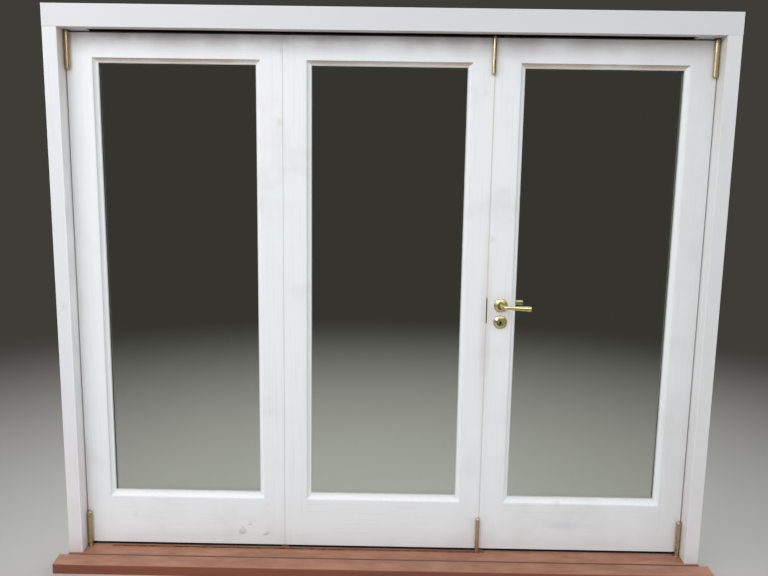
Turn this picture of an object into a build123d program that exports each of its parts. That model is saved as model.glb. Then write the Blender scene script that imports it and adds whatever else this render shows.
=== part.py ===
from build123d import *
from math import atan2, degrees, radians, tan
import os

# Three-leaf folding door set in white painted timber, with its frame and a stained hardwood sill.
# Millimetres. X runs across the opening, Y into the building, Z up.
# The origin is the middle of the frame's front plane, on the underside of the sill.
# Leaf 1 (left) hangs on the left jamb, leaf 2 (middle) folds against it, leaf 3 (right) is the everyday door.
os.makedirs("parts", exist_ok=True)

# Frame
frame_width = 2394.0
frame_height = 2048.0
frame_depth = 115.0
head_face = 77.0
jamb_face = 51.0
stop_step = 15.0
frame_arris = 2.0
jamb_tenon = 18.0
jamb_tenon_height = 30.0
jamb_tenon_inset = 30.0
fixing_hole = 8.5
fixing_inset = 240.0
fixing_inner_inset = 780.0
stop_depth = 17.0
stop_clearance = 4.0
head_gap = 6.0

# Sill, nosing and weather bar
sill_slope = 9.0
sill_reach = 10.0
nosing_face = 38.0
nosing_depth = 56.0
nosing_horn = 32.0
nosing_round = 6.0
drip_width = 6.0
drip_depth = 5.0
drip_setback = 10.0
joint_bevel = 3.0
edge_bevel = 1.0
tongue_depth = 9.0
tongue_height = 9.0
tongue_end_gap = 0.5
weather_bar_thick = 6.0
weather_bar_overlap = 10.0
weather_bar_seat = 14.0

# Leaves
leaf_thick = 44.0
leaf_bottom = 67.0
right_leaf_width = 771.0
leaf_arris = 0.7
jamb_gap = 4.0
fold_gap = 2.0
lock_gap = 4.5
jamb_stile = 88.0
left_fold_stile = 75.0
middle_fold_stile = 81.0
carrier_stile = 72.5
lock_stile = 85.0
top_rail = 81.0
bottom_rail = 183.0
tenon_thick = 13.0
tenon_length = 55.0
tenon_shoulder = 14.0
tenon_fit = 0.1
mortise_end_gap = 1.0

# Glazing
side_bead = 18.0
top_bead = 16.0
bottom_bead = 25.0
bead_depth = 15.5
bead_set_in = 0.6
bead_flat_share = 0.16
bead_quirk = 1.2
bead_curve_share = 0.9
bead_lip = 4.0
back_leg = 16.0
back_bevel = 6.0
pane_thick = 4.0
pane_space = 10.0
pane_clearance = 3.0
spacer_inset = 3.0
spacer_width = 9.0

# Outside pivots and inside fold hinges
barrel_radius = 7.5
barrel_length = 127.0
barrel_cap = 5.0
barrel_tip = 4.0
pivot_proud = 8.0
pivot_setback = 10.0
carrier_setback = 4.0
pin_radius = 4.0
running_fit = 0.05
pin_top_clearance = 12.0
edge_plate_thick = 3.0
edge_plate_depth = 36.0
bush_radius = 11.0
bush_height = 14.0
bush_proud = 0.5
collar_gap = 0.5
collar_lift = 1.5
fold_proud = 6.0
fold_knuckle = 5.5
fold_pin = 2.5
fold_hinge_height = 96.0
fold_plate_width = 32.0
fold_plate_thick = 2.5
fold_knuckle_gap = 0.4
knuckle_clearance = 0.4
fold_hinge_clear = 22.0
fold_seam_offset = 4.75
fold_plate_seat = 0.1
fold_button = 3.0
fold_button_step = 1.0

# Track, trolley and guide
track_width = 34.0
track_height = 30.0
track_wall = 2.5
track_slot = 12.0
track_end = 90.0
trolley_length = 56.0
trolley_thick = 11.0
trolley_height = 15.0
trolley_round = 3.0
wheel_radius = 9.0
wheel_width = 6.0
wheel_offset = 9.5
wheel_spacing = 34.0
wheel_clearance = 0.3
axle_radius = 2.5
channel_width = 10.0
channel_wall = 1.2
channel_depth = 6.0
channel_end = 96.0
channel_overrun = 30.0
guide_radius = 3.5
guide_clearance = 1.0

# Lock, lever and keep
lock_backset = 49.0
lever_height = 1021.0
key_spacing = 62.0
rose_radius = 25.0
rose_thick = 8.0
rose_edge = 2.5
rose_step = 1.5
rose_boss = 15.0
case_depth = 76.0
case_height = 150.0
case_thick = 14.0
forend_height = 225.0
forend_width = 22.0
forend_thick = 3.0
case_clearance = 0.5
latch_height = 20.0
latch_thick = 11.0
latch_throw = 12.0
latch_travel = 10.0
latch_length = 40.0
bolt_height = 24.0
bolt_throw = 14.0
bolt_length = 46.0
bolt_clearance = 0.3
latch_bevel = 3.0
latch_square = 1.0
slide_end_gap = 1.0
bolt_set_back = 0.5
bolt_bevel = 0.8
keep_clearance = 2.0
keep_depth = 24.0
strike_thick = 2.0
spindle_size = 7.6
spindle_hole = 5.5
hub_radius = 9.0
latch_hub_gap = 3.0
bolt_key_gap = 4.0
lever_reach = 55.0
lever_length = 102.0
lever_neck = 9.0
lever_root = 6.5
lever_end = 9.5
lever_bend = 20.0
lever_nose = 4.5
neck_clearance = 0.4
neck_lift = 0.3
spindle_grip = 12.0
key_hole_radius = 4.0
key_slot_width = 4.0
key_slot_drop = 9.0

# Flush bolts on the inside of the middle leaf
flush_plate_height = 160.0
flush_plate_width = 18.0
flush_plate_thick = 2.5
flush_plate_end = 60.0
flush_edge = 34.0
flush_rod = 4.0
flush_rod_depth = 11.0
flush_travel = 16.0
flush_knob_radius = 3.2
flush_knob_proud = 3.5
flush_socket = 22.0
flush_socket_clearance = 0.5
flush_end_gap = 1.0
flush_tail = 3.0
flush_bore_gap = 2.0
flush_corner = 3.0
flush_slot_clearance = 0.4

# Seals
seal_width = 6.0
seal_thick = 2.5
seal_inset = 1.0
seal_end_gap = 0.5
seam_seal_depth = 6.0
seam_seal_setback = 1.0
seam_seal_clearance = 0.3
seam_seal_end_gap = 1.0
keep_slit_height = 96.0
keep_slit_drop = 20.0

# How far a cutter or a joined piece runs past the face it meets, the reach of a cutter that goes right
# through, and how near an edge lies to the plane it is picked by
past_face = 1.0
through = 400.0
near = 0.01

# Places worked out from the sizes above
half_width = frame_width / 2
soffit = frame_height - head_face
jamb_inner = half_width - jamb_face
stop_face = frame_depth - stop_depth
leaf_back = stop_face - stop_clearance
leaf_face = leaf_back - leaf_thick
leaf_middle = leaf_face + leaf_thick / 2
leaf_top = soffit - head_gap
slope = tan(radians(sill_slope))
nosing_front = -sill_reach - nosing_depth
track_y = leaf_face - pivot_proud
left_edge = -jamb_inner + jamb_gap
right_edge = jamb_inner - jamb_gap
left_pivot = left_edge + pivot_setback
right_pivot = right_edge - pivot_setback
leaf_3_left = right_edge - right_leaf_width
leaf_2_right = leaf_3_left - lock_gap
carrier_x = leaf_2_right - carrier_setback
fold_x = (left_pivot + carrier_x) / 2
fold_y = leaf_back + fold_proud
fold_seam = fold_x + fold_seam_offset
leaf_1_right = fold_seam - fold_gap / 2
leaf_2_left = fold_seam + fold_gap / 2
lower_rail_top = leaf_bottom + bottom_rail
upper_rail_bottom = leaf_top - top_rail
pane_front = leaf_face + bead_depth
inner_pane_front = pane_front + pane_thick + pane_space
leg_front = inner_pane_front + pane_thick
lock_x = leaf_3_left + lock_backset
key_height = lever_height - key_spacing
case_middle = lever_height - key_spacing / 2
latch_z = lever_height + hub_radius + latch_hub_gap + latch_height / 2
bolt_z = key_height - key_slot_drop - bolt_key_gap - bolt_height / 2
flush_x = leaf_2_left + flush_edge
flush_y = leaf_back - flush_rod_depth
channel_top = nosing_face + slope * (track_y - channel_width / 2 - nosing_front)


def sill_top(y):
    """Height of the sloping top of the sill at a depth y."""
    return nosing_face + slope * (y - nosing_front)


def block(x0, x1, y0, y1, z0, z1):
    """A square-edged piece between two corners."""
    return Pos((x0 + x1) / 2, (y0 + y1) / 2, (z0 + z1) / 2) * Box(abs(x1 - x0), abs(y1 - y0), abs(z1 - z0))


def rod(x, y, z0, z1, radius):
    """An upright round bar."""
    return Pos(x, y, (z0 + z1) / 2) * Cylinder(radius, abs(z1 - z0))


def cross_rod(x, y0, y1, z, radius):
    """A round bar that runs through the wall, along Y."""
    return Pos(x, (y0 + y1) / 2, z) * Rot(90, 0, 0) * Cylinder(radius, abs(y1 - y0))


def side_rod(x0, x1, y, z, radius):
    """A round bar that runs across the opening, along X."""
    return Pos((x0 + x1) / 2, y, z) * Rot(0, 90, 0) * Cylinder(radius, abs(x1 - x0))


def long_bar(points, x0, x1):
    """A section drawn in Y and Z, run along X."""
    wire = Polyline(*[(x0, y, z) for y, z in points], close=True)
    return extrude(make_face(wire), amount=x1 - x0, dir=(1, 0, 0))


def upright(points, z0, z1):
    """A section drawn in X and Y, run up Z."""
    wire = Polyline(*[(x, y, z0) for x, y in points], close=True)
    return extrude(make_face(wire), amount=z1 - z0, dir=(0, 0, 1))


def save(piece, name):
    """Write one node."""
    export_step(piece, f"parts/{name}.step")


def group(pieces):
    """Separate solids that share a node."""
    return Compound(children=[solid for piece in pieces for solid in piece.solids()])


def edges_at_depth(piece, y):
    """Edges that lie on the plane at depth y."""
    return piece.edges().filter_by_position(Axis.Y, y - near, y + near)


# Frame timbers

def frame_head():
    """Head across both jambs, routed underneath for the track and bored for the pivot bushes."""
    head = block(-half_width, half_width, 0, frame_depth, soffit, frame_height)
    head = fillet(edges_at_depth(head, 0).filter_by(Axis.X), frame_arris)
    head -= track_groove()
    for x in (left_pivot, right_pivot):
        head -= rod(x, track_y, soffit - past_face, soffit + bush_height, bush_radius)
    for side in (-1, 1):
        head -= jamb_tenon_block(side, tenon_fit)
    head -= rod(flush_x, flush_y, soffit - past_face, soffit + flush_socket,
                flush_rod + flush_socket_clearance)
    return head


def track_groove():
    """Space in the head that the track fills."""
    y0 = track_y - track_width / 2
    reach = jamb_inner - track_end
    return block(-reach, reach, y0, y0 + track_width, soffit - past_face, soffit + track_height)


def jamb_tenon_block(side, grow=0.0):
    """Tenon on top of a jamb, or with grow the mortise for it."""
    x = side * (half_width - jamb_face / 2)
    half = jamb_tenon / 2 + grow
    y0, y1 = jamb_tenon_inset - grow, frame_depth - jamb_tenon_inset + grow
    return block(x - half, x + half, y0, y1, soffit - past_face, soffit + jamb_tenon_height)


def jamb(side):
    """Jamb and its stop in one piece, scribed to the sill, tenoned into the head and bored for fixings."""
    outer = side * half_width
    inner = side * jamb_inner
    stop = side * (jamb_inner - stop_step)
    post = upright(
        [(outer, 0), (inner, 0), (inner, stop_face), (stop, stop_face), (stop, frame_depth),
         (outer, frame_depth)], 0, soffit)
    post = fillet(edges_at_depth(post, 0).filter_by(Axis.Z), frame_arris)
    post += jamb_tenon_block(side)
    post -= sill_body()
    for inset in (fixing_inset, fixing_inner_inset):
        for z in (inset, soffit - inset):
            post -= side_rod(outer + side * past_face, stop - side * past_face, leaf_middle, z,
                             fixing_hole / 2)
    return post


def head_stop():
    """Planted stop under the head, between the stops of the jambs."""
    reach = jamb_inner - stop_step
    stop = block(-reach, reach, stop_face, frame_depth, soffit - stop_step, soffit)
    stop = chamfer(edges_at_depth(stop, stop_face).filter_by(Axis.X).sort_by(Axis.Z)[0], edge_bevel)
    return stop


def sill_body():
    """Sloping sill under the jambs, before its cuts."""
    return long_bar(
        [(-sill_reach, 0), (frame_depth, 0), (frame_depth, sill_top(stop_face)),
         (stop_face, sill_top(stop_face)), (-sill_reach, sill_top(-sill_reach))],
        -half_width, half_width)


def sill():
    """Hardwood sill, cut for the guide channel, the weather bar, the nosing tongue and the lower pivots."""
    board = sill_body()
    edge = edges_at_depth(board, -sill_reach).filter_by(Axis.X).sort_by(Axis.Z)[-1]
    board = chamfer(edge, joint_bevel)
    board -= block(-half_width - past_face, half_width + past_face,
                   -sill_reach - past_face, -sill_reach + tongue_depth + tongue_end_gap,
                   nosing_face / 2 - tongue_height / 2, nosing_face / 2 + tongue_height / 2)
    board -= channel_space()
    board -= weather_bar_space()
    for x in (left_pivot, right_pivot):
        board -= rod(x, track_y, sill_top(track_y) - bush_height, through, bush_radius)
    board -= rod(flush_x, flush_y, sill_top(flush_y) - flush_socket, through,
                 flush_rod + flush_socket_clearance)
    return board


def channel_span():
    """Where the guide channel starts and ends."""
    return -jamb_inner + channel_end, carrier_x + channel_overrun


def channel_space():
    """Groove in the sill for the guide channel."""
    x0, x1 = channel_span()
    return block(x0, x1, track_y - channel_width / 2, track_y + channel_width / 2,
                 channel_top - channel_depth, through)


def guide_channel():
    """Shallow metal channel let into the sill, which keeps the foot of the carrier on its line."""
    x0, x1 = channel_span()
    half = channel_width / 2
    inner = half - channel_wall
    low = channel_top - channel_depth
    return long_bar(
        [(track_y - half, channel_top), (track_y - half, low), (track_y + half, low),
         (track_y + half, channel_top), (track_y + inner, channel_top), (track_y + inner, low + channel_wall),
         (track_y - inner, low + channel_wall), (track_y - inner, channel_top)],
        x0, x1)


def weather_bar_space():
    """Groove in the sill for the weather bar."""
    return block(-jamb_inner + stop_step, jamb_inner - stop_step, stop_face, stop_face + weather_bar_thick,
                 sill_top(stop_face) - weather_bar_seat, through)


def weather_bar():
    """Metal bar that stands behind the foot of the leaves and turns water back."""
    top = leaf_bottom + weather_bar_overlap
    low = sill_top(stop_face) - weather_bar_seat
    reach = jamb_inner - stop_step
    bar = block(-reach, reach, stop_face, stop_face + weather_bar_thick, low, top)
    return chamfer(bar.edges().filter_by(Axis.X).group_by(Axis.Z)[-1], edge_bevel)


def sill_nosing():
    """Nosing board along the front of the sill, with its horns, a rounded front arris and a drip groove."""
    reach = half_width + nosing_horn
    back = -sill_reach
    section = [(nosing_front, 0), (back, 0), (back, sill_top(back)), (nosing_front, nosing_face)]
    board = long_bar(section, -reach, reach)
    top_edges = edges_at_depth(board, nosing_front).filter_by(Axis.X).sort_by(Axis.Z)
    board = fillet(top_edges[-1], nosing_round)
    board = chamfer(edges_at_depth(board, back).filter_by(Axis.X).sort_by(Axis.Z)[-1], joint_bevel)
    board -= block(-reach - past_face, reach + past_face, nosing_front + drip_setback,
                   nosing_front + drip_setback + drip_width, -past_face, drip_depth)
    half_tongue = tongue_height / 2 - tenon_fit
    board += block(-half_width, half_width, back - past_face, back + tongue_depth,
                   nosing_face / 2 - half_tongue, nosing_face / 2 + half_tongue)
    return board


def frame_seals():
    """Soft strips on the stops, which the backs of the leaves close against."""
    y0 = stop_face - seal_thick
    x = jamb_inner - stop_step
    z_foot = leaf_bottom + weather_bar_overlap - seal_width - seal_inset
    z_head = soffit - stop_step + seal_inset
    strips = [block(side * x, side * (x + seal_width), y0, stop_face,
                    sill_top(stop_face) + seal_end_gap, soffit - seal_end_gap) for side in (-1, 1)]
    strips.append(block(-x + seal_inset, x - seal_inset, y0, stop_face, z_head, z_head + seal_width))
    strips.append(block(-x + seal_inset, x - seal_inset, y0, stop_face, z_foot, z_foot + seal_width))
    return group(strips)


# Leaf timbers

def leaf_stile(x_edge, x_shoulder):
    """Stile from its outer edge to its shoulder, with the back leg of the glazing rebate and the mortises."""
    way = 1 if x_shoulder > x_edge else -1
    post = block(x_edge, x_shoulder, leaf_face, leaf_back, leaf_bottom, leaf_top)
    arrises = post.edges().filter_by(Axis.Z).filter_by_position(Axis.X, x_edge - near, x_edge + near)
    post = chamfer(arrises, leaf_arris)
    post += block(x_shoulder, x_shoulder + way * back_leg, leg_front, leaf_back,
                  lower_rail_top, upper_rail_bottom)
    post -= leg_bevel(x_shoulder, x_shoulder + way * through)
    for z0, z1 in tenon_heights():
        post -= block(x_shoulder, x_shoulder - way * (tenon_length + mortise_end_gap),
                      leaf_middle - tenon_thick / 2 - tenon_fit, leaf_middle + tenon_thick / 2 + tenon_fit,
                      z0 - tenon_fit, z1 + tenon_fit)
    return post


def tenon_heights():
    """Lower and upper end of each tenon: two on the bottom rail, one on the top rail."""
    middle = leaf_bottom + bottom_rail / 2
    return [(leaf_bottom + tenon_shoulder, middle - tenon_shoulder / 2),
            (middle + tenon_shoulder / 2, lower_rail_top - tenon_shoulder),
            (upper_rail_bottom + tenon_shoulder, leaf_top - tenon_shoulder)]


def leaf_rail(x0, x1, z_edge, z_shoulder, tenons):
    """Rail between two stiles, with its tenons and the back leg of the glazing rebate."""
    way = 1 if z_shoulder > z_edge else -1
    rail = block(x0, x1, leaf_face, leaf_back, z_edge, z_shoulder)
    rail += block(x0 + back_leg, x1 - back_leg, leg_front, leaf_back,
                  z_shoulder, z_shoulder + way * back_leg)
    rail -= leg_bevel(x0, x1)
    for z0, z1 in tenons:
        rail += block(x0 - tenon_length, x1 + tenon_length, leaf_middle - tenon_thick / 2,
                      leaf_middle + tenon_thick / 2, z0, z1)
    return rail


def leg_bevel(x0, x1):
    """Flared cutter that bevels the back legs round the glass; x0 and x1 are the shoulders of the stiles."""
    low, high = lower_rail_top + back_leg, upper_rail_bottom - back_leg
    left, right = min(x0, x1) + back_leg, max(x0, x1) - back_leg
    flare = []
    for y, grow in ((leaf_back - back_bevel, 0.0), (leaf_back + past_face, back_bevel + past_face)):
        corners = [(left - grow, y, low - grow), (right + grow, y, low - grow),
                   (right + grow, y, high + grow), (left - grow, y, high + grow)]
        flare.append(make_face(Polyline(*corners, close=True)))
    return loft(flare)


def bead_section(width):
    """Ovolo glazing bead seen end on: width across the face of the leaf, then depth towards the glass."""
    flat = width * bead_flat_share
    quirk = bead_set_in + bead_quirk
    lip = bead_depth - bead_lip
    face = Polyline((width, lip), (width, bead_depth), (0, bead_depth), (0, bead_set_in), (flat, bead_set_in),
                    (flat, quirk))
    curve = RadiusArc((flat, quirk), (width, lip), width * bead_curve_share)
    return make_face([face, curve])


def glazing_beads(x0, x1):
    """Four beads round one pane, each mitred to the corner lines."""
    z0, z1 = lower_rail_top, upper_rail_bottom
    outer = {"bl": (x0, z0), "br": (x1, z0), "tl": (x0, z1), "tr": (x1, z1)}
    inner = {"bl": (x0 + side_bead, z0 + bottom_bead), "br": (x1 - side_bead, z0 + bottom_bead),
             "tl": (x0 + side_bead, z1 - top_bead), "tr": (x1 - side_bead, z1 - top_bead)}
    runs = [("bl", "tl", side_bead, (1, 0, 0), (0, 0, 1)),
            ("tr", "br", side_bead, (-1, 0, 0), (0, 0, -1)),
            ("tl", "tr", top_bead, (0, 0, -1), (1, 0, 0)),
            ("br", "bl", bottom_bead, (0, 0, 1), (-1, 0, 0))]
    beads = []
    for start, end, width, across, along in runs:
        xs, zs = outer[start]
        xe, ze = outer[end]
        length = abs(xe - xs) + abs(ze - zs)
        seat = Plane(origin=(xs, leaf_face, zs), x_dir=across, z_dir=along)
        bead = extrude(seat * bead_section(width), amount=length)
        middle = Vector((xs + xe) / 2, leaf_face, (zs + ze) / 2)
        for corner in (start, end):
            bead = mitre(bead, outer[corner], inner[corner], middle)
        beads.append(bead)
    return group(beads)


def mitre(bead, outer, inner, middle):
    """Cut a bead on the line from the outer to the inner corner, and keep the side of its middle."""
    start = Vector(outer[0], leaf_face, outer[1])
    line = Vector(inner[0] - outer[0], 0, inner[1] - outer[1])
    normal = line.cross(Vector(0, 1, 0))
    if normal.dot(middle - start) < 0:
        normal = normal * -1
    return split(bead, bisect_by=Plane(origin=start, z_dir=normal), keep=Keep.TOP)


def pane(x0, x1, y0):
    """One sheet of the sealed unit."""
    return block(x0 + pane_clearance, x1 - pane_clearance, y0, y0 + pane_thick,
                 lower_rail_top + pane_clearance, upper_rail_bottom - pane_clearance)


def pane_spacer(x0, x1):
    """Four bars that keep the two sheets apart."""
    inset = pane_clearance + spacer_inset
    left, right = x0 + inset, x1 - inset
    low, high = lower_rail_top + inset, upper_rail_bottom - inset
    y0, y1 = pane_front + pane_thick, inner_pane_front
    bars = [block(left, left + spacer_width, y0, y1, low, high),
            block(right - spacer_width, right, y0, y1, low, high),
            block(left + spacer_width, right - spacer_width, y0, y1, low, low + spacer_width),
            block(left + spacer_width, right - spacer_width, y0, y1, high - spacer_width, high)]
    return group(bars)


# Outside pivots

def edge_plate(x_edge, way, z0, z1):
    """Hinge plate let into the edge of a leaf, running out to the barrel."""
    return block(x_edge, x_edge + way * edge_plate_thick, track_y, leaf_face + edge_plate_depth, z0, z1)


def barrel_heights():
    """Lower and upper end of the bottom barrel and of the top barrel."""
    return [(leaf_bottom, leaf_bottom + barrel_length), (leaf_top - barrel_length, leaf_top)]


def pivot_barrels(x_pivot, x_edge, way):
    """Bottom and top barrels with their edge plates, each closed by a coned tip and bored for its pin."""
    pair = []
    for index, (z0, z1) in enumerate(barrel_heights()):
        out = 1 if index == 0 else -1
        mouth, closed = (z0, z1) if index == 0 else (z1, z0)
        shoulder = closed - out * barrel_tip
        barrel = rod(x_pivot, track_y, mouth, shoulder, barrel_radius)
        tip = Cone(barrel_radius, barrel_radius / 2, barrel_tip)
        barrel += Pos(x_pivot, track_y, (shoulder + closed) / 2) * (tip if out > 0 else Rot(180, 0, 0) * tip)
        barrel += edge_plate(x_edge, way, z0, z1)
        barrel -= rod(x_pivot, track_y, mouth - out, shoulder - out * barrel_cap, pin_radius + running_fit)
        pair.append(barrel)
    return group(pair)


def edge_plates(x_edge, way):
    """The two plates at the edge of a leaf, as cutters for their recesses."""
    return [edge_plate(x_edge, way, z0, z1) for z0, z1 in barrel_heights()]


def pin_span(index):
    """How far a pin runs inside the bottom (0) or top (1) barrel."""
    z0, z1 = barrel_heights()[index]
    if index == 0:
        return z1 - pin_top_clearance
    return z0 + pin_top_clearance


def pivot_pins():
    """Fixed pins that the two outer leaves turn on, with a turned collar under each bottom barrel."""
    pins = []
    for x in (left_pivot, right_pivot):
        foot = sill_top(track_y) - bush_height
        pin = rod(x, track_y, foot, pin_span(0), pin_radius)
        collar = rod(x, track_y, sill_top(track_y) + collar_lift, leaf_bottom - collar_gap, barrel_radius)
        pins.append(pin + collar)
        pins.append(rod(x, track_y, pin_span(1), soffit + bush_height, pin_radius))
    return group(pins)


def pivot_bushes():
    """Flanged sockets let into the sill and the head, which hold the pins."""
    bushes = []
    for x in (left_pivot, right_pivot):
        for top, low in ((sill_top(track_y) + collar_lift, sill_top(track_y) - bush_height),
                         (soffit + bush_height, soffit - bush_proud)):
            bore = rod(x, track_y, low - past_face, top + past_face, pin_radius)
            bushes.append(rod(x, track_y, low, top, bush_radius) - bore)
    return group(bushes)


# Inside fold hinges

def fold_hinge_heights():
    """Middle heights of the three hinges between leaf 1 and leaf 2, clear of the flush bolts' plates."""
    inset = flush_plate_end + flush_plate_height + fold_hinge_clear + fold_hinge_height / 2
    low = leaf_bottom + inset
    high = leaf_top - inset
    return [low, (low + high) / 2, high]


def knuckle_span(z, index):
    """Lower and upper end of one of the three knuckles of a hinge centred on z."""
    step = fold_hinge_height / 3
    low = z - fold_hinge_height / 2 + index * step
    return low + fold_knuckle_gap / 2, low + step - fold_knuckle_gap / 2


def fold_plates(x_edge, way, knuckles):
    """Plates of the inside hinges on one leaf, each with its knuckles, bored for the pin."""
    y0 = leaf_back + fold_plate_seat if way > 0 else leaf_back
    plates = []
    for z in fold_hinge_heights():
        plate = block(fold_x, x_edge + way * fold_plate_width, y0, y0 + fold_plate_thick,
                      z - fold_hinge_height / 2, z + fold_hinge_height / 2)
        for index in range(3):
            k0, k1 = knuckle_span(z, index)
            if index in knuckles:
                plate += rod(fold_x, fold_y, k0, k1, fold_knuckle)
            else:
                plate -= rod(fold_x, fold_y, k0 - fold_knuckle_gap, k1 + fold_knuckle_gap,
                             fold_knuckle + knuckle_clearance)
        plate -= rod(fold_x, fold_y, z - fold_hinge_height, z + fold_hinge_height, fold_pin + running_fit)
        plates.append(plate)
    return group(plates)


def fold_pins():
    """Loose pins of the inside hinges, with a button at each end."""
    pins = []
    for z in fold_hinge_heights():
        half = (fold_hinge_height + fold_knuckle_gap) / 2
        pin = rod(fold_x, fold_y, z - half, z + half, fold_pin)
        for side in (-1, 1):
            pin += rod(fold_x, fold_y, z + side * half, z + side * (half + fold_button),
                       fold_knuckle - fold_button_step)
        pins.append(pin)
    return group(pins)


# Track, trolley and guide

def top_track():
    """Aluminium track in the head: a box open along the middle of its underside."""
    reach = jamb_inner - track_end
    y0, y1 = track_y - track_width / 2, track_y + track_width / 2
    track = block(-reach, reach, y0, y1, soffit, soffit + track_height)
    track -= block(-reach - past_face, reach + past_face, y0 + track_wall, y1 - track_wall,
                   soffit + track_wall, soffit + track_height - track_wall)
    track -= block(-reach - past_face, reach + past_face, track_y - track_slot / 2, track_y + track_slot / 2,
                   soffit - past_face, soffit + track_wall + past_face)
    return track


def axle_height():
    """Height of the trolley's axles, with the wheels on the track's flanges."""
    return soffit + track_wall + wheel_clearance + wheel_radius


def trolley_body():
    """Trolley that runs in the track and hangs the middle leaf on its pin."""
    z0 = axle_height() - trolley_height / 2
    half = trolley_length / 2
    body = block(carrier_x - half, carrier_x + half, track_y - trolley_thick / 2, track_y + trolley_thick / 2,
                 z0, z0 + trolley_height)
    body = fillet(body.edges().filter_by(Axis.Y), trolley_round)
    body += rod(carrier_x, track_y, pin_span(1), z0 + past_face, pin_radius)
    for side in (-1, 1):
        body -= cross_rod(carrier_x + side * wheel_spacing / 2, 0, through, axle_height(),
                          axle_radius + running_fit)
    return body


def trolley_wheels(side):
    """Two grooved wheels on one axle."""
    x = carrier_x + side * wheel_spacing / 2
    outer = wheel_offset + wheel_width / 2
    axle = cross_rod(x, track_y - outer, track_y + outer, axle_height(), axle_radius)
    for way in (-1, 1):
        y = track_y + way * wheel_offset
        axle += cross_rod(x, y - wheel_width / 2, y + wheel_width / 2, axle_height(), wheel_radius)
    return axle


def guide_pin():
    """Foot of the carrier: a pin in the bottom barrel, a collar, and a round shoe in the guide channel."""
    shoe_low = channel_top - channel_depth + channel_wall + guide_clearance
    collar_low = sill_top(track_y) + collar_lift
    collar_top = leaf_bottom - collar_gap
    shoe = rod(carrier_x, track_y, shoe_low, collar_low + past_face, guide_radius)
    collar = rod(carrier_x, track_y, collar_low, collar_top, barrel_radius)
    return shoe + collar + rod(carrier_x, track_y, collar_top - past_face, pin_span(0), pin_radius)


# Lock

def lock_pocket():
    """Mortise in the lock stile for the case and its forend."""
    x0 = leaf_3_left
    half_y = case_thick / 2 + case_clearance
    half_z = case_height / 2 + case_clearance
    pocket = block(x0 - past_face, x0 + case_depth + case_clearance,
                   leaf_middle - half_y, leaf_middle + half_y, case_middle - half_z, case_middle + half_z)
    return pocket + block(x0 - past_face, x0 + forend_thick,
                          leaf_middle - forend_width / 2, leaf_middle + forend_width / 2,
                          case_middle - forend_height / 2, case_middle + forend_height / 2)


def latch_space(grow):
    """Straight guide of the latch through the forend and the case."""
    half = latch_height / 2 + grow
    reach = latch_length - latch_throw + latch_travel + slide_end_gap
    return block(leaf_3_left - past_face, leaf_3_left + reach,
                 leaf_middle - latch_thick / 2 - grow, leaf_middle + latch_thick / 2 + grow,
                 latch_z - half, latch_z + half)


def bolt_space(grow):
    """Straight guide of the dead bolt."""
    half = bolt_height / 2 + grow
    return block(leaf_3_left - past_face, leaf_3_left + bolt_length + slide_end_gap,
                 leaf_middle - latch_thick / 2 - grow, leaf_middle + latch_thick / 2 + grow,
                 bolt_z - half, bolt_z + half)


def lock_case():
    """Lock case with its forend, pierced for the latch, the dead bolt, the spindle and the key."""
    x0 = leaf_3_left
    case = block(x0 + forend_thick, x0 + case_depth,
                 leaf_middle - case_thick / 2, leaf_middle + case_thick / 2,
                 case_middle - case_height / 2, case_middle + case_height / 2)
    case += block(x0, x0 + forend_thick, leaf_middle - forend_width / 2, leaf_middle + forend_width / 2,
                  case_middle - forend_height / 2, case_middle + forend_height / 2)
    case -= latch_space(bolt_clearance)
    case -= bolt_space(bolt_clearance)
    case -= cross_rod(lock_x, 0, through, lever_height, spindle_hole)
    case -= key_hole(0, through)
    return case


def latch_bolt():
    """Sprung latch, bevelled on the side that meets the keep first as the door shuts."""
    x0 = leaf_3_left - latch_throw
    half_y, half_z = latch_thick / 2, latch_height / 2
    square = x0 + latch_throw - latch_square
    return upright([(x0, leaf_middle - half_y), (x0 + latch_length, leaf_middle - half_y),
                    (x0 + latch_length, leaf_middle + half_y), (square, leaf_middle + half_y),
                    (x0, leaf_middle - half_y + latch_bevel)], latch_z - half_z, latch_z + half_z)


def dead_bolt():
    """Dead bolt, drawn back flush with the forend."""
    x0 = leaf_3_left + bolt_set_back
    half_y, half_z = latch_thick / 2, bolt_height / 2
    bolt = block(x0, x0 + bolt_length - 2 * bolt_set_back, leaf_middle - half_y, leaf_middle + half_y,
                 bolt_z - half_z, bolt_z + half_z)
    return chamfer(bolt.edges().filter_by_position(Axis.X, x0 - near, x0 + near), bolt_bevel)


def keep_pockets():
    """Pockets in the edge of the middle leaf for the latch and the dead bolt."""
    pockets = []
    for z, height in ((latch_z, latch_height), (bolt_z, bolt_height)):
        half = height / 2 + keep_clearance
        pockets.append(block(leaf_2_right - keep_depth, leaf_2_right + past_face,
                             leaf_middle - latch_thick / 2 - keep_clearance,
                             leaf_middle + latch_thick / 2 + keep_clearance, z - half, z + half))
    return pockets[0] + pockets[1]


def strike_block(grow=0.0):
    """Outline of the strike plate in the edge of the middle leaf."""
    half = forend_width / 2
    return block(leaf_2_right - strike_thick, leaf_2_right + grow, leaf_middle - half, leaf_middle + half,
                 case_middle - case_height / 2, case_middle + case_height / 2)


def strike_plate():
    """Plate over the two pockets, let in flush."""
    return strike_block() - keep_pockets()


def key_hole(y0, y1):
    """Round head and straight slot of a lever key's hole, cut through."""
    hole = cross_rod(lock_x, y0, y1, key_height, key_hole_radius)
    return hole + block(lock_x - key_slot_width / 2, lock_x + key_slot_width / 2, y0, y1,
                        key_height - key_slot_drop, key_height)


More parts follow.
